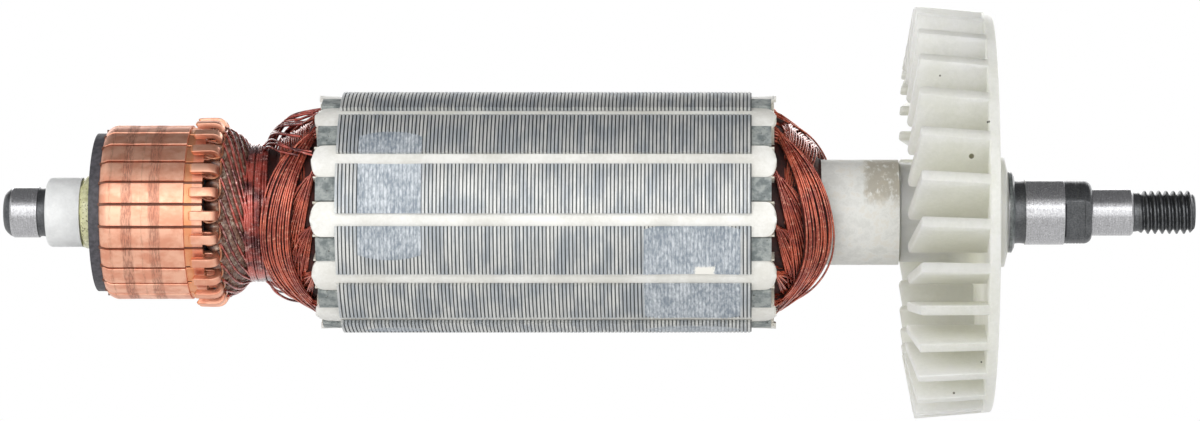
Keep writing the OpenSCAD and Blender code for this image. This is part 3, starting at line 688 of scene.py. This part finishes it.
# Lamination stack. Each of its rings runs over a tooth's face and lip, then down the slot.
def makeCore():
    sheet = {"count": 110, "crest": 0.66, "groove": 0.13, "arc": 10, "rear": core["rear"],
             "radius": core["radius"]}
    sheet["pitch"] = (core["front"] - core["rear"]) / sheet["count"]
    rearCut = {"station": core["rear"] + 7.35, "half": 4.33}
    frontCut = {"station": core["front"] - 8.05, "half": 6.55}
    cuts = [{"angle": angle, "depth": depth, "fall": fall, **place}
            for place, angle, depth, fall in (
                (rearCut, -11.5, 0.6, 0.12), (rearCut, -34, 0.135, 0.09),
                (rearCut, 13.5, 0.225, 0.11), (rearCut, 78, 0.07, 0.07),
                (frontCut, 19.3, 0.52, 0.2), (frontCut, 47.6, 0.52, 0.2),
                (frontCut, 77, 0.12, 0.12))]
    for cut in cuts:
        cut["radius"] = cut["half"] ** 2 / 2 / cut["fall"]
        cut["axis"] = core["radius"] - cut["depth"] + cut["radius"]
    stations, lows = [], []
    for k in range(sheet["count"]):
        start = core["rear"] + k * sheet["pitch"]
        for share, low in ((0, 0), (sheet["crest"], 0), (sheet["crest"] + 0.05, 1), (0.97, 1)):
            stations.append(start + share * sheet["pitch"])
            lows.append(low)
    stations[-1] = core["front"]
    stations, lows = np.array(stations), np.array(lows)
    radii, turns, outer = [], [], []
    half = core["step"] / 2 - math.degrees(math.asin(core["opening"] / 2 / core["radius"]))
    low = core["floorRadius"] + 0.5
    slotCorners = [(core["lipRadius"], core["opening"] / 2), (core["shoulder"], slotHalf(15.65)),
                   (low, slotHalf(low))]
    for k in range(core["slots"]):
        tooth = core["firstSlot"] + core["step"] * (k + 0.5)
        for share in np.linspace(-1, 1, sheet["arc"]):
            radii.append(core["radius"])
            turns.append(tooth + half * share)
            outer.append(2)
        slot = tooth + core["step"] / 2
        corners = [(d, -w) for d, w in slotCorners] + [(core["floorRadius"], 0)]
        corners += [(d, w) for d, w in slotCorners[::-1]]
        for d, w in corners:
            radii.append(math.hypot(d, w))
            turns.append(slot + math.degrees(math.atan2(w, d)))
            outer.append(1 if d == core["lipRadius"] else 0)
    radii, turns, outer = (np.array(v) for v in (radii, turns, outer))
    surface = np.full((len(stations), len(turns)), 99.0)
    for cut in cuts:
        off = np.radians((turns - cut["angle"] + 180) % 360 - 180)
        away = np.abs(stations - cut["station"])
        reach = cut["axis"] - np.sqrt(cut["radius"] ** 2 - np.minimum(away, cut["half"]) ** 2)
        reach = np.where(away < cut["half"], reach, 99)
        near = np.abs(off) < math.radians(30)
        level = reach[:, None] / np.cos(np.where(near, off, 0))[None, :]
        surface = np.where(near[None, :], np.minimum(surface, level), surface)
    grid = np.repeat(radii[None, :], len(stations), axis=0)
    grooved = grid - sheet["groove"] * lows[:, None] * (outer == 2)[None, :]
    grid = np.where((outer == 2)[None, :], np.minimum(grooved, surface), grid)
    grid = np.where((outer == 1)[None, :], np.minimum(grid, surface - 0.02), grid)
    shell = tubeShell(polar(stations[:, None], grid, turns[None, :]))
    makePiece("laminationStack", [shell], coreFinish(cuts, sheet), ["lamination_stack"], 30)
    print("stage: core", len(shell.quads), "quads")


makeCore()


# Slot wedges: thin strips with rounded ends that stand out of the core
def makeWedges():
    wedge = {"thickness": 0.45, "standOut": 3.4, "fit": 0.02, "roundLength": 1.5, "curl": 0.25}
    finish = mattFinish("wedgeFilm", {
        "low": (226, 224, 216), "high": (246, 245, 240), "cloud": 6.0, "grain": 0.5,
        "roughness": 0.35, "depth": 0.01, "coat": 0.3})
    rear, front = core["rear"] - wedge["standOut"], core["front"] + wedge["standOut"]
    stations = np.concatenate([
        rear + wedge["roundLength"] * np.array([0, 0.03, 0.1, 0.25, 0.45, 0.7, 1]),
        np.linspace(core["rear"], core["front"], 24),
        front - wedge["roundLength"] * np.array([1, 0.7, 0.45, 0.25, 0.1, 0.03, 0])])
    ending = np.minimum(stations - rear, front - stations) / wedge["roundLength"]
    narrow = np.sqrt(1 - (1 - np.clip(ending, 0.02, 1)) ** 2.2)
    outside = np.maximum(np.maximum(core["rear"] - stations, stations - core["front"]), 0)
    curl = wedge["curl"] * (outside / wedge["standOut"]) ** 2
    wide = slotHalf(core["shoulder"] - wedge["thickness"]) - wedge["fit"]
    top = [(wide, core["shoulder"]), (core["opening"] / 2 + 0.1, core["lipRadius"] - 0.03),
           (0, core["lipRadius"])]
    section = [(-w, d) for w, d in top] + [(w, d) for w, d in top[:2][::-1]]
    section += [(w, d - wedge["thickness"]) for w, d in section[::-1]]
    shells = []
    for k in range(core["slots"]):
        slot = core["firstSlot"] + core["step"] * k
        sag = wobble(stations + 17 * k, k, longest=40) * 0.03
        grid = np.empty((len(stations), len(section), 3))
        for j, (w, d) in enumerate(section):
            across = w * narrow
            reach = d - wedge["fit"] - curl * (1 if k % 3 else -0.6) + sag - 0.02
            grid[:, j] = polar(stations, np.hypot(reach, across),
                               slot + np.degrees(np.arctan2(across, reach)))
        shells.append(tubeShell(grid))
    makePiece("slotWedges", shells, finish, ["slot_wedges"], 40)
    print("stage: wedges")


makeWedges()


# Winding: every coil is a belt of enamelled wires that bows out over both ends of the core.
# Heights are measured from the core's end, shares run from the inner layer to the outer one
winding = {"layers": 6, "pitch": 5, "wire": 0.28, "across": 12, "steps": 33, "mouth": 2.9,
           "spread": 3.2, "rowDepth": 0.2, "width": 0.96,
           "front": {"low": (4.4, 5.6, 7.4), "high": (8.0, 9.6, 11.2),
                     "lowRadius": (11.8, 12.3, 12.8), "highRadius": (8.5, 9.0, 9.8)},
           "rear": {"low": (4.4, 5.2, 6.5), "high": (8.0, 9.3, 10.7),
                    "lowRadius": (12.0, 12.4, 13.0), "highRadius": (9.6, 10.0, 10.9)}}
winding["lowSide"] = core["floorRadius"] + 0.9
winding["highSide"] = core["shoulder"] - 0.45 - 0.04 - 0.2
winding["halfSide"] = (winding["highSide"] - winding["lowSide"] - 0.2) / 4
winding["sides"] = (winding["lowSide"] + winding["halfSide"],
                    winding["highSide"] - winding["halfSide"])
dome = {"front": ((3.2, 14.4), (5.4, 13.9), (6.8, 13.0), (8.2, 11.8), (9.6, 10.4), (10.6, 9.0)),
        "rear": ((3.8, 14.9), (5.4, 14.2), (6.8, 13.7), (8.5, 12.5), (9.6, 11.4), (10.2, 10.4))}


def coilStart(layer, opposite):
    return core["firstSlot"] + core["step"] * (3 - layer + (6 if opposite else 0))


def domeStation(end, height):
    return core["front"] + height if end == "front" else core["rear"] - height


# Lines of one end turn and the direction that its belt faces; across runs from -1 to 1
def turnPaths(end, layer, start, across, depth, first, last):
    size = winding[end]
    low, high, lowRadius, highRadius = (
        np.interp(layer, (0, winding["layers"] - 2, winding["layers"] - 1), size[key])
        for key in ("low", "high", "lowRadius", "highRadius"))
    t = np.linspace(0, 1, winding["steps"])[None, :]
    u = (across + 1) / 2
    bow = np.maximum(np.sin(math.pi * t), 1e-6)
    early, late = 1.0 - 0.5 * u, 1.7 - 1.15 * u
    power = early + (late - early) * np.clip((t - 0.3) / 0.4, 0, 1)
    height = low + (high - low) * u
    radius = lowRadius + (highRadius - lowRadius) * u
    slope = np.array([lowRadius - highRadius, high - low])
    slope = slope / np.hypot(*slope)
    ends = first + (last - first) * np.clip((t - 0.2) / 0.6, 0, 1)
    heights = winding["mouth"] + (height - winding["mouth"]) * bow ** power
    radii = ends + (radius - ends) * bow ** 0.6
    spread = np.clip(1 - t / 0.16, 0, 1) - np.clip(1 - (1 - t) / 0.16, 0, 1)
    angles = start + winding["pitch"] * core["step"] * t + across * winding["spread"] * spread
    heights = heights + depth * slope[0] * bow
    radii = radii + depth * slope[1]
    side = 1 if end == "front" else -1
    facing = polar(side * slope[0] * bow + 0 * angles, slope[1] + 0 * angles, angles)
    return polar(domeStation(end, heights), radii, angles), facing


def coilPaths(layer, opposite, seed):
    rng = np.random.default_rng(seed)
    rowOne = np.linspace(-winding["width"], winding["width"], winding["across"])
    rowTwo = (rowOne[1:] + rowOne[:-1]) / 2
    across = np.concatenate([rowOne, rowTwo])
    depth = np.concatenate([np.full(len(rowOne), winding["rowDepth"]),
                            np.full(len(rowTwo), -1.6 * winding["rowDepth"])])
    count = len(across)
    t = np.linspace(0, 1, winding["steps"])

    def wander(size):
        return np.stack([wobble(t, int(rng.integers(1, 9999)), 3, 1.3) * size
                         for _ in range(count)])

    start = coilStart(layer, opposite)
    finish = start + winding["pitch"] * core["step"]
    startSide = 0 if layer == 0 else 1
    finishSide = 1 if layer == winding["layers"] - 1 else 0
    order = np.array([((k * 7) % count) / (count - 1) * 2 - 1 for k in range(count)])
    sideRadii = [mid + order * winding["halfSide"] * 0.9 for mid in winding["sides"]]

    def slotPaths(side, angle, heading, stations):
        radius = sideRadii[side]
        room = np.maximum(slotHalf(radius) - 0.29 - winding["wire"] / 2, 0.2)
        off = heading * room * across * 0.95
        reach = np.hypot(radius, off)
        turn = angle + np.degrees(np.arctan2(off, radius))
        points = polar(np.array(stations)[None, :], reach[:, None], turn[:, None])
        towards = polar(np.zeros((1, len(stations))), np.ones((count, 1)), turn[:, None])
        return points, np.broadcast_to(towards, points.shape)

    def turn(end, forward):
        points, facing = turnPaths(end, layer, start, across[:, None] + wander(0.06),
                                   depth[:, None] + wander(0.09),
                                   sideRadii[startSide][:, None], sideRadii[finishSide][:, None])
        return (points, facing) if forward else (points[:, ::-1], facing[:, ::-1])

    frontOut, rearOut = core["front"] + 2.5, core["rear"] - 2.5
    inner = (core["front"] - 2, core["rear"] + 2)
    paths = [turn("front", True), slotPaths(finishSide, finish, -1, (frontOut, *inner, rearOut)),
             turn("rear", False), slotPaths(startSide, start, 1, (rearOut, *inner[::-1], frontOut))]
    points = np.concatenate([p for p, _ in paths], axis=1)
    towards = np.concatenate([n for _, n in paths], axis=1)
    return rounded(points, 2, closed=True), towards


# Dark body in the middle of the winding: painted shade that shows as the dark gaps between the
# wires
def makeShadeFill():
    shells = []
    across = np.array([-0.9, -0.5, 0, 0.5, 0.9, 0.9, 0.5, 0, -0.5, -0.9])[:, None]
    depth = np.array([-0.2] * 5 + [-0.7] * 5)[:, None]
    for number in range(core["slots"]):
        layer, opposite = number // 2, number % 2 == 1
        start = coilStart(layer, opposite)
        sides = (winding["sides"][0 if layer == 0 else 1],
                 winding["sides"][1 if layer == winding["layers"] - 1 else 0])
        for end in ("front", "rear"):
            paths, _ = turnPaths(end, layer, start, across, depth, *sides)
            shells.append(tubeShell(np.transpose(paths, (1, 0, 2))))
    for end in ("front", "rear"):
        outline = [(domeStation(end, h), r) for h, r in [(2.6, 7.45), (2.6, 14.2)]]
        outline += [(domeStation(end, h - 1.0), r - 2.0) for h, r in dome[end]]
        if end == "rear":
            outline += [(neck["front"] + 0.3, 9.1), (neck["front"] - 0.2, 8.9)]
        outline += [(outline[-1][0], 7.45)]
        shells.append(turned(outline, 96, ring=True))
    # Near-black red-brown: painted shade behind the wires
    finish = mattFinish("windingVarnish", {
        "low": (34, 13, 11), "high": (70, 28, 22), "cloud": 1.4, "grain": 0.3, "roughness": 0.6,
        "depth": 0.05})
    makePiece("windingVarnish", shells, finish, (), 60)


makeShadeFill()


def makeCoils(finish):
    for number in range(core["slots"]):
        layer, opposite = number // 2, number % 2 == 1
        paths, towards = coilPaths(layer, opposite, 40 + number)
        shells = wireShells(paths, towards, winding["wire"], closed=True)
        name = "coil_%02d" % (number + 1)
        makePiece("woundCoil%02d" % (number + 1), shells, finish, [name], 80)
    print("stage: winding,", len(shells), "wires a coil")


# The first tone is the pale painted highlight of the wires
enamel = wireFinish("enamelWire", (255, 184, 156), (210, 104, 76), (146, 56, 42))
makeCoils(enamel)


# Leads: a resin cone, the wires that lie on it, the neck that they gather in, and their tails
def makeLeads():
    lead = {"wire": 0.4, "start": hook["front"] - 0.35, "turn": 64.0, "onNeck": 70.0,
            "offset": -10.4, "neckWires": 22, "neckWire": 0.36, "tail": 0.36,
            "domeWires": 38, "domeWire": 0.36}
    front = hook["front"]
    coneLine = np.array([
        (front - 2.6, 10.5), (front - 2.0, 11.4), (front - 1.4, 12.0), (front - 0.6, 11.7),
        (front, 11.1), (front + 0.8, 10.75), (front + 1.6, 10.1), (front + 2.3, 9.35),
        (front + 2.8, 8.95), (neck["front"] + 0.1, 8.9), (neck["front"] + 0.9, 8.2),
        (core["rear"] - 6.0, 8.0)])

    def coneRadius(station):
        return np.interp(station, coneLine[:, 0], coneLine[:, 1])

    stations = np.concatenate([np.linspace(front - 2.6, neck["front"] + 0.1, 40),
                               coneLine[-2:, 0]])
    steps = 360
    turns = np.arange(steps)[None, :] * 360 / steps
    x = stations[:, None]
    base = coneRadius(x) + 0 * turns
    past = np.clip((x - lead["start"]) / (neck["rear"] - lead["start"]), 0, 1)
    strand = np.sin(np.radians((turns - lead["turn"] * past) * 66 + 40))
    bricks = np.sin(np.radians(turns * 96)) * np.sin((x + turns * 0.02) * 9)
    onCone = np.clip((neck["rear"] - x) / 0.5, 0, 1) * np.clip((x - front + 1.2) / 0.6, 0, 1)
    base = base - onCone * (0.10 * strand + 0.07 * bricks)
    fromHook = (turns - track["firstBar"] + 7.5) % 15 - 7.5
    pocket = np.clip(1.6 - np.abs(fromHook) / 4.2, 0, 1) * np.clip((front + 0.1 - x) / 0.5, 0, 1)
    base = base - 0.9 * pocket + wobble(turns * 1.0 + x * 9, 5, 5, 24) * 0.06 * onCone
    outer = polar(x, base, turns)
    inner = polar(x[::-1], 7.4, turns)
    grid = np.concatenate([outer, inner], axis=0)
    makePiece("leadCone", [tubeShell(grid, closed=True)], resinFinish(),
              ["lead_bundle"], 50)

    outwards = np.array([0, 1, 1])
    rng = np.random.default_rng(11)
    paths = []
    for k in range(track["bars"]):
        start = track["firstBar"] + track["step"] * k + lead["offset"] + rng.uniform(-1, 1)
        t = np.linspace(0, 1, 16)
        length = neck["rear"] - lead["start"] + rng.uniform(0.1, 0.5)
        station = lead["start"] + length * t ** 0.85
        angle = start + (lead["turn"] + rng.uniform(-5, 5)) * t ** 1.05
        lift = 0.26 + 0.3 * np.sin(math.pi * np.clip(t * 1.1, 0, 1)) * rng.uniform(0.3, 1)
        radius = np.maximum(coneRadius(station), 9.2) + lift
        more = np.linspace(0, 1, 13)[1:]
        station2 = station[-1] + (rng.uniform(0.1, 0.7)) * more
        angle2 = angle[-1] + lead["onNeck"] * more
        radius2 = radius[-1] + (9.5 - radius[-1]) * np.clip(more * 3, 0, 1) - 0.5 * more ** 3
        paths.append(polar(np.concatenate([station, station2]),
                           np.concatenate([radius, radius2]), np.concatenate([angle, angle2])))
    paths = rounded(np.array(paths), 2)
    shells = wireShells(paths, paths * outwards, lead["wire"])

    t = np.arange(72) / 72 * 360
    loops = []
    for k in range(lead["neckWires"]):
        middle = neck["rear"] + 0.1 + (neck["front"] - neck["rear"] + 0.9) * ((k * 0.618) % 1)
        spread = 0.85 + 0.15 * np.cos(np.radians(t))
        centre = (neck["rear"] + neck["front"]) / 2 + 0.1
        station = (centre + (middle - centre) * spread
                   + rng.uniform(0.1, 0.35) * np.sin(np.radians(t - rng.uniform(0, 360))))
        radius = 9.16 + 0.24 * (k % 2) + rng.uniform(0, 0.1) + wobble(t / 360, k, 3) * 0.05
        loops.append(polar(station, radius, t))
    loops = np.array(loops)
    shells += wireShells(loops, loops * outwards, lead["neckWire"], closed=True)

    # Wires from the neck over the dome of the winding into the slots
    runs = []
    for k in range(lead["domeWires"]):
        t = np.linspace(0, 1, 18)
        start = 88 + 5.6 * k + rng.uniform(-4, 4)
        reach = rng.uniform(12.6, 14.6)
        radius = 9.3 + (reach - 9.3) * t ** 0.8
        heights, reaches = np.array(dome["rear"]).T
        height = np.interp(radius, reaches[::-1], heights[::-1] + 0.2)
        height = np.where(t > 0.85, height - (t - 0.85) * 14, height)
        station = np.minimum(domeStation("rear", height), neck["front"] + 0.5 + 8 * t)
        station[0] = neck["front"] - 0.2
        runs.append(polar(station, radius, start + rng.uniform(18, 46) * t))
    runs = rounded(np.array(runs), 3)
    shells += wireShells(runs, runs * outwards, lead["domeWire"])
    # The first tone is the pale pink painted highlight of the leads
    leadEnamel = wireFinish("leadEnamel", (255, 206, 196), (190, 84, 70), (84, 26, 28))
    makePiece("leadWires", shells, leadEnamel, ["lead_wires"], 80)

    tails = []
    for k in range(track["bars"]):
        at = track["firstBar"] + track["step"] * k + rng.uniform(-0.4, 0.4)
        out = rng.uniform(-0.1, 0.15)
        knots = np.array([
            (front - 0.45, 11.5, -10.4), (front - 0.4, 11.45 + out, -7),
            (front - 0.3, 11.35 + out, -2.5), (front - 0.5, 11.5 + out, 2.2),
            (front - 1.1, 11.85 + out, 4.6), (front - 2.0, 12.1, 5.0),
            (front - 2.6, 12.0, 3.2), (front - 2.7, 11.8, 0), (front - 2.7, 11.7, -3.4)])
        fine = np.linspace(0, len(knots) - 1, 30)
        line = np.stack([np.interp(fine, np.arange(len(knots)), knots[:, c]) for c in range(3)], -1)
        tails.append(polar(line[:, 0], line[:, 1], line[:, 2] + at))
    tails = rounded(np.array(tails), 4)
    bare = wireFinish("bareTails", (232, 190, 150), (196, 130, 92), (128, 70, 48))
    makePiece("leadTails", wireShells(tails, tails * outwards, lead["tail"]), bare,
              (), 80)
    print("stage: leads")


makeLeads()


# Commutator bars, each with its hook bent back over the lead
def makeBars():
    bar = {"chamfer": 1.2, "chamferDepth": 0.72, "strip": 0.3, "riser": 1.5, "corner": 0.1,
           "under": 9.95, "slit": 0.3}
    finish = copperFinish()
    half = 7.5 - math.degrees(bar["slit"] / 2 / track["radius"])
    top = track["radius"]
    wear = np.linspace(track["rear"] + 1.5, track["front"] - 0.2, 22)
    line = [(track["rear"], top - bar["chamferDepth"] - 0.05), (track["rear"] + 0.06, top - 0.66)]
    line += [(track["rear"] + bar["chamfer"] * s, top - 0.62 * (1 - s) ** 1.4)
             for s in (0.25, 0.5, 0.75, 1)]
    line += [(x, top - 0.035 * math.exp(-((x - track["rear"] - 4.1) / 0.9) ** 2)
              - 0.03 * math.exp(-((x - track["rear"] - 8.4) / 0.8) ** 2)) for x in wear]
    line += [(track["front"] - 0.03, top), (track["front"], top - 0.03),
             (track["front"] + 0.04, top - bar["strip"]), (hook["rear"] + bar["riser"], top - 0.3)]
    line = np.array(line)
    offsets = np.array([-1, -0.985, -0.95, -0.6, -0.3, 0, 0.3, 0.6, 0.95, 0.985, 1]) * half
    drops = np.array([0.13, 0.05, 0.0, 0, 0, 0, 0, 0, 0.0, 0.05, 0.13])
    centre = hook["front"] - 1.8
    bends = np.linspace(-90, 90, 9)
    path = [(hook["rear"] + 0.9, 11.0), (centre - 0.4, 11.0)]
    path += [(centre + 0.85 * math.cos(math.radians(b)), 11.85 + 0.85 * math.sin(math.radians(b)))
             for b in bends]
    path += [(centre - 0.8, 12.71), (centre - 1.8, 12.68), (hook["rear"] + 0.16, 12.66),
             (hook["rear"] + 0.04, 12.63), (hook["rear"], 12.6)]
    path = np.array(path)
    along = np.gradient(path, axis=0)
    along = along / np.linalg.norm(along, axis=1, keepdims=True)
    outward = np.stack([along[:, 1], -along[:, 0]], axis=1)
    scale = np.ones(len(path))
    scale[-2:] = (0.94, 0.8)
    w, t, c = hook["width"] / 2, hook["thickness"] / 2, bar["corner"]
    corner = []
    for sx, sy, turn in ((1, 1, 0), (-1, 1, 90), (-1, -1, 180), (1, -1, 270)):
        for a in (0, 30, 60, 90):
            angle = math.radians(turn + a)
            corner.append((sx * (w - c) + c * math.cos(angle), sy * (t - c) + c * math.sin(angle)))
    corner = np.array(corner)
    for number in range(track["bars"]):
        rng = np.random.default_rng(300 + number)
        angle = track["firstBar"] + track["step"] * number
        tall = rng.uniform(-0.015, 0.01)
        radii = line[:, 1:] - drops[None, :] + tall
        outer = polar(line[:, :1], radii, angle + offsets[None, :])
        under = polar(line[:, :1], bar["under"], angle + offsets[None, [-1, 0]])
        body = tubeShell(np.concatenate([outer, under], axis=1))
        lean, shift = rng.uniform(-0.06, 0.06), rng.uniform(-0.05, 0.05)
        grid = np.empty((len(path), len(corner), 3))
        for i, (x, r) in enumerate(path):
            deep = corner[:, 1] * scale[i]
            wide = corner[:, 0] * scale[i] + lean * (hook["front"] - x) * 0.5 + shift
            reach = r + deep * outward[i, 1] * -1
            grid[i] = polar(x - deep * outward[i, 0], np.hypot(reach, wide),
                            angle + np.degrees(np.arctan2(wide, reach)))
        makePiece("commutatorBar%02d" % (number + 1), [body, tubeShell(grid)], finish,
                  ["commutator_bar_%02d" % (number + 1)], 32)
    print("stage: commutator bars")


makeBars()


# Fan: disc, hub and boss turned in one, with swept blades standing on it
def makeFan():
    fan = {"blades": 29, "firstBlade": 1.5, "inner": 20.1, "sweep": 12.9, "thickness": 1.35,
           "rake": 1.6, "rimRear": 28.6, "rimFront": 27.7, "disc": 1.5, "discFront": -7.4,
           "bladeRear": -18.0, "hub": 6.9, "boss": 7.65, "bossFront": -5.1, "bore": 5.02,
           "rear": fanBox[0][0]}
    discRear = fan["discFront"] - fan["disc"]

    def rim(station):
        share = (station - fan["bladeRear"]) / (fan["discFront"] - fan["bladeRear"])
        return fan["rimRear"] + (fan["rimFront"] - fan["rimRear"]) * share

    rear, front, hub, boss = fan["rear"], fan["discFront"], fan["hub"], fan["boss"]
    outline = [
        (rear, fan["bore"]), (rear, hub - 0.3), (rear + 0.09, hub - 0.09), (rear + 0.3, hub),
        (discRear - 5, hub + 0.02), (discRear - 3.4, 7.5), (discRear - 1.9, 8.7),
        (discRear - 0.8, 10.3), (discRear - 0.2, 12.2), (discRear, 14.5),
        (discRear, rim(discRear) - 0.3), (discRear + 0.06, rim(discRear) - 0.1),
        (discRear + 0.25, rim(discRear)), (front - 0.3, rim(front - 0.3)),
        (front - 0.08, rim(front) - 0.08), (front, rim(front) - 0.3), (front, 20), (front, 12),
        (front, boss + 0.5), (front + 0.1, boss + 0.1), (front + 0.5, boss),
        (fan["bossFront"] - 0.6, boss - 0.03), (fan["bossFront"] - 0.45, boss - 0.12),
        (fan["bossFront"], 5.75), (fan["bossFront"], fan["bore"])]
    shells = [turned(outline, 232, ring=True)]
    inner = fan["inner"] * np.array([math.cos(math.radians(fan["sweep"])),
                                     math.sin(math.radians(fan["sweep"]))])
    reach = np.array([fan["rimRear"] + 1, 0]) - inner
    ahead = reach / np.linalg.norm(reach)
    aside = np.array([-ahead[1], ahead[0]])
    half = fan["thickness"] / 2
    base = discRear + 0.5
    # Blade's section: side, and height above the free edge (none at the foot)
    section = [(-1, None), (-1, 0.34), (-0.93, 0.14), (-0.75, 0.03), (-0.4, 0),
               (0.4, 0), (0.75, 0.03), (0.93, 0.14), (1, 0.34), (1, None)]
    # Along the blade: start, share of the way to the rim, shortfall, half width, lift
    stages = [(ease, 0, 0, math.sqrt(max(half ** 2 - (half - ease) ** 2, 0.0004)), 0)
              for ease in (0.02, 0.06, 0.15, 0.3, 0.5, half)]
    stages += [(half, share, 0, half, 0) for share in (0.2, 0.4, 0.6, 0.8)]
    stages += [(half, 1.0, 0.13, half, 0), (half, 1.0, 0, half - 0.1, 0.12)]
    for number in range(fan["blades"]):
        turn = fan["firstBlade"] + 360 / fan["blades"] * number
        rows = []
        for start, share, short, wide, lift in stages:
            points = []
            for side, low in section:
                spot = inner + aside * (side * wide)
                # Length of the blade to the rim's taper, at this side and height
                station = base if low is None else fan["bladeRear"] + low
                far = rim(station)
                along = -spot @ ahead + math.sqrt((spot @ ahead) ** 2 - spot @ spot + far ** 2)
                length = start + (along - start) * share - short
                place = spot + ahead * length
                distance = math.hypot(*place)
                rake = fan["rake"] * (1 - (distance - fan["inner"])
                                      / (fan["rimRear"] - fan["inner"]))
                if low is not None:
                    deep = max(0.0, 0.6 - length) ** 2 * 1.2
                    station = fan["bladeRear"] - rake + low + lift + deep
                points.append((station, distance, turn + math.degrees(
                    math.atan2(place[1], place[0]))))
            rows.append(points)
        rows = np.array(rows)
        shells.append(tubeShell(polar(rows[..., 0], rows[..., 1], rows[..., 2])))
    finish = mattFinish("fanNylon", {
        "low": (220, 221, 204), "high": (235, 235, 221), "cloud": 9.0, "grain": 0.6,
        "roughness": 0.32, "depth": 0.012, "coat": 0.25, "milky": 1.0,
        "speck": (88, 84, 74), "speckSize": 0.9, "speckFrom": 0.8, "edge": fanShade})
    makePiece("fan", shells, finish, ["fan"], 32, united=True)
    print("stage: fan")


makeFan()


# Bead of yellowish resin between the collar and the commutator's hub
def makeResinRing():
    ring = {"radius": 5.0, "bore": 4.02}
    rear, front = millimetres("resin_ring")[:, 0]
    length = front - rear
    shares = np.array([0, 0.04, 0.12, 0.3, 0.5, 0.7, 0.88, 0.96, 1])
    bulge = ring["radius"] - 0.5 * np.abs(shares * 2 - 1) ** 3
    outline = [(rear, ring["bore"])] + [(rear + length * s, r) for s, r in zip(shares, bulge)]
    outline += [(front, ring["bore"])]

    def change(stations, radii, turns):
        rough = wobble(turns, 3, 6, 90) * 0.08 + wobble(turns + stations * 60, 8, 5, 30) * 0.05
        outside = radii > ring["bore"] + 0.1
        creep = wobble(turns, 9, 6, 120) * 0.22
        near = np.clip(1 - (stations - rear) / (length * 0.8), 0, 1)
        return (stations + np.where(outside, creep * near, 0),
                radii + np.where(outside, rough - 0.02, 0))

    finish = mattFinish("ringResin", {
        "low": (198, 196, 142), "high": (232, 230, 186), "cloud": 0.8, "grain": 0.25,
        "roughness": 0.22, "depth": 0.05, "coat": 0.6, "speck": (110, 104, 60),
        "speckSize": 0.3, "speckFrom": 0.6})
    makePiece("resinRing", [turned(outline, 180, ring=True, change=change)], finish,
              ["resin_ring"], 50)
    print("stage: resin ring")


makeResinRing()


# The nodes that keep their own shape get their finishes
def dress(names, finish):
    for name in names:
        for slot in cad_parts[name].material_slots:
            slot.material = finish


def dressFrame():
    dress(["rear_collar"], mattFinish("collarNylon", {
        "low": (226, 227, 226), "high": (240, 241, 240), "cloud": 2.5, "grain": 0.4,
        "roughness": 0.4, "depth": 0.008, "speck": (150, 150, 150), "speckSize": 0.25,
        "speckFrom": 0.78}))
    dress(["commutator_hub"], mattFinish("hubPhenolic", {
        "low": (56, 55, 60), "high": (84, 82, 88), "cloud": 0.6, "grain": 0.12,
        "roughness": 0.45, "depth": 0.02, "speck": (120, 116, 110), "speckSize": 0.2,
        "speckFrom": 0.76, "edge": slitDust}))
    dress(["rear_sleeve", "front_sleeve"], mattFinish("sleeveNylon", {
        "low": (222, 222, 218), "high": (242, 242, 239), "cloud": 1.6, "grain": 0.3,
        "roughness": 0.4, "depth": 0.02, "edge": varnishPatch}))
    dress(["rear_end_insulator", "front_end_insulator"], mattFinish("endBoard", {
        "low": (108, 116, 116), "high": (166, 171, 168), "cloud": 1.1, "grain": 0.3,
        "roughness": 0.5, "depth": 0.04, "speck": (58, 50, 46), "speckSize": 0.5,
        "speckFrom": 0.68}))
    dress(["slot_liners"], mattFinish("slotPaper", {
        "low": (214, 208, 192), "high": (236, 232, 220), "cloud": 2.0, "grain": 0.3,
        "roughness": 0.6, "depth": 0.02}))
    dress(["fan_washer"], mattFinish("washerSteel", {
        "low": (70, 74, 76), "high": (120, 126, 126), "cloud": 0.8, "grain": 0.2,
        "roughness": 0.3, "depth": 0.02, "coat": 0.4}))
    print("stage: frame finishes")


dressFrame()
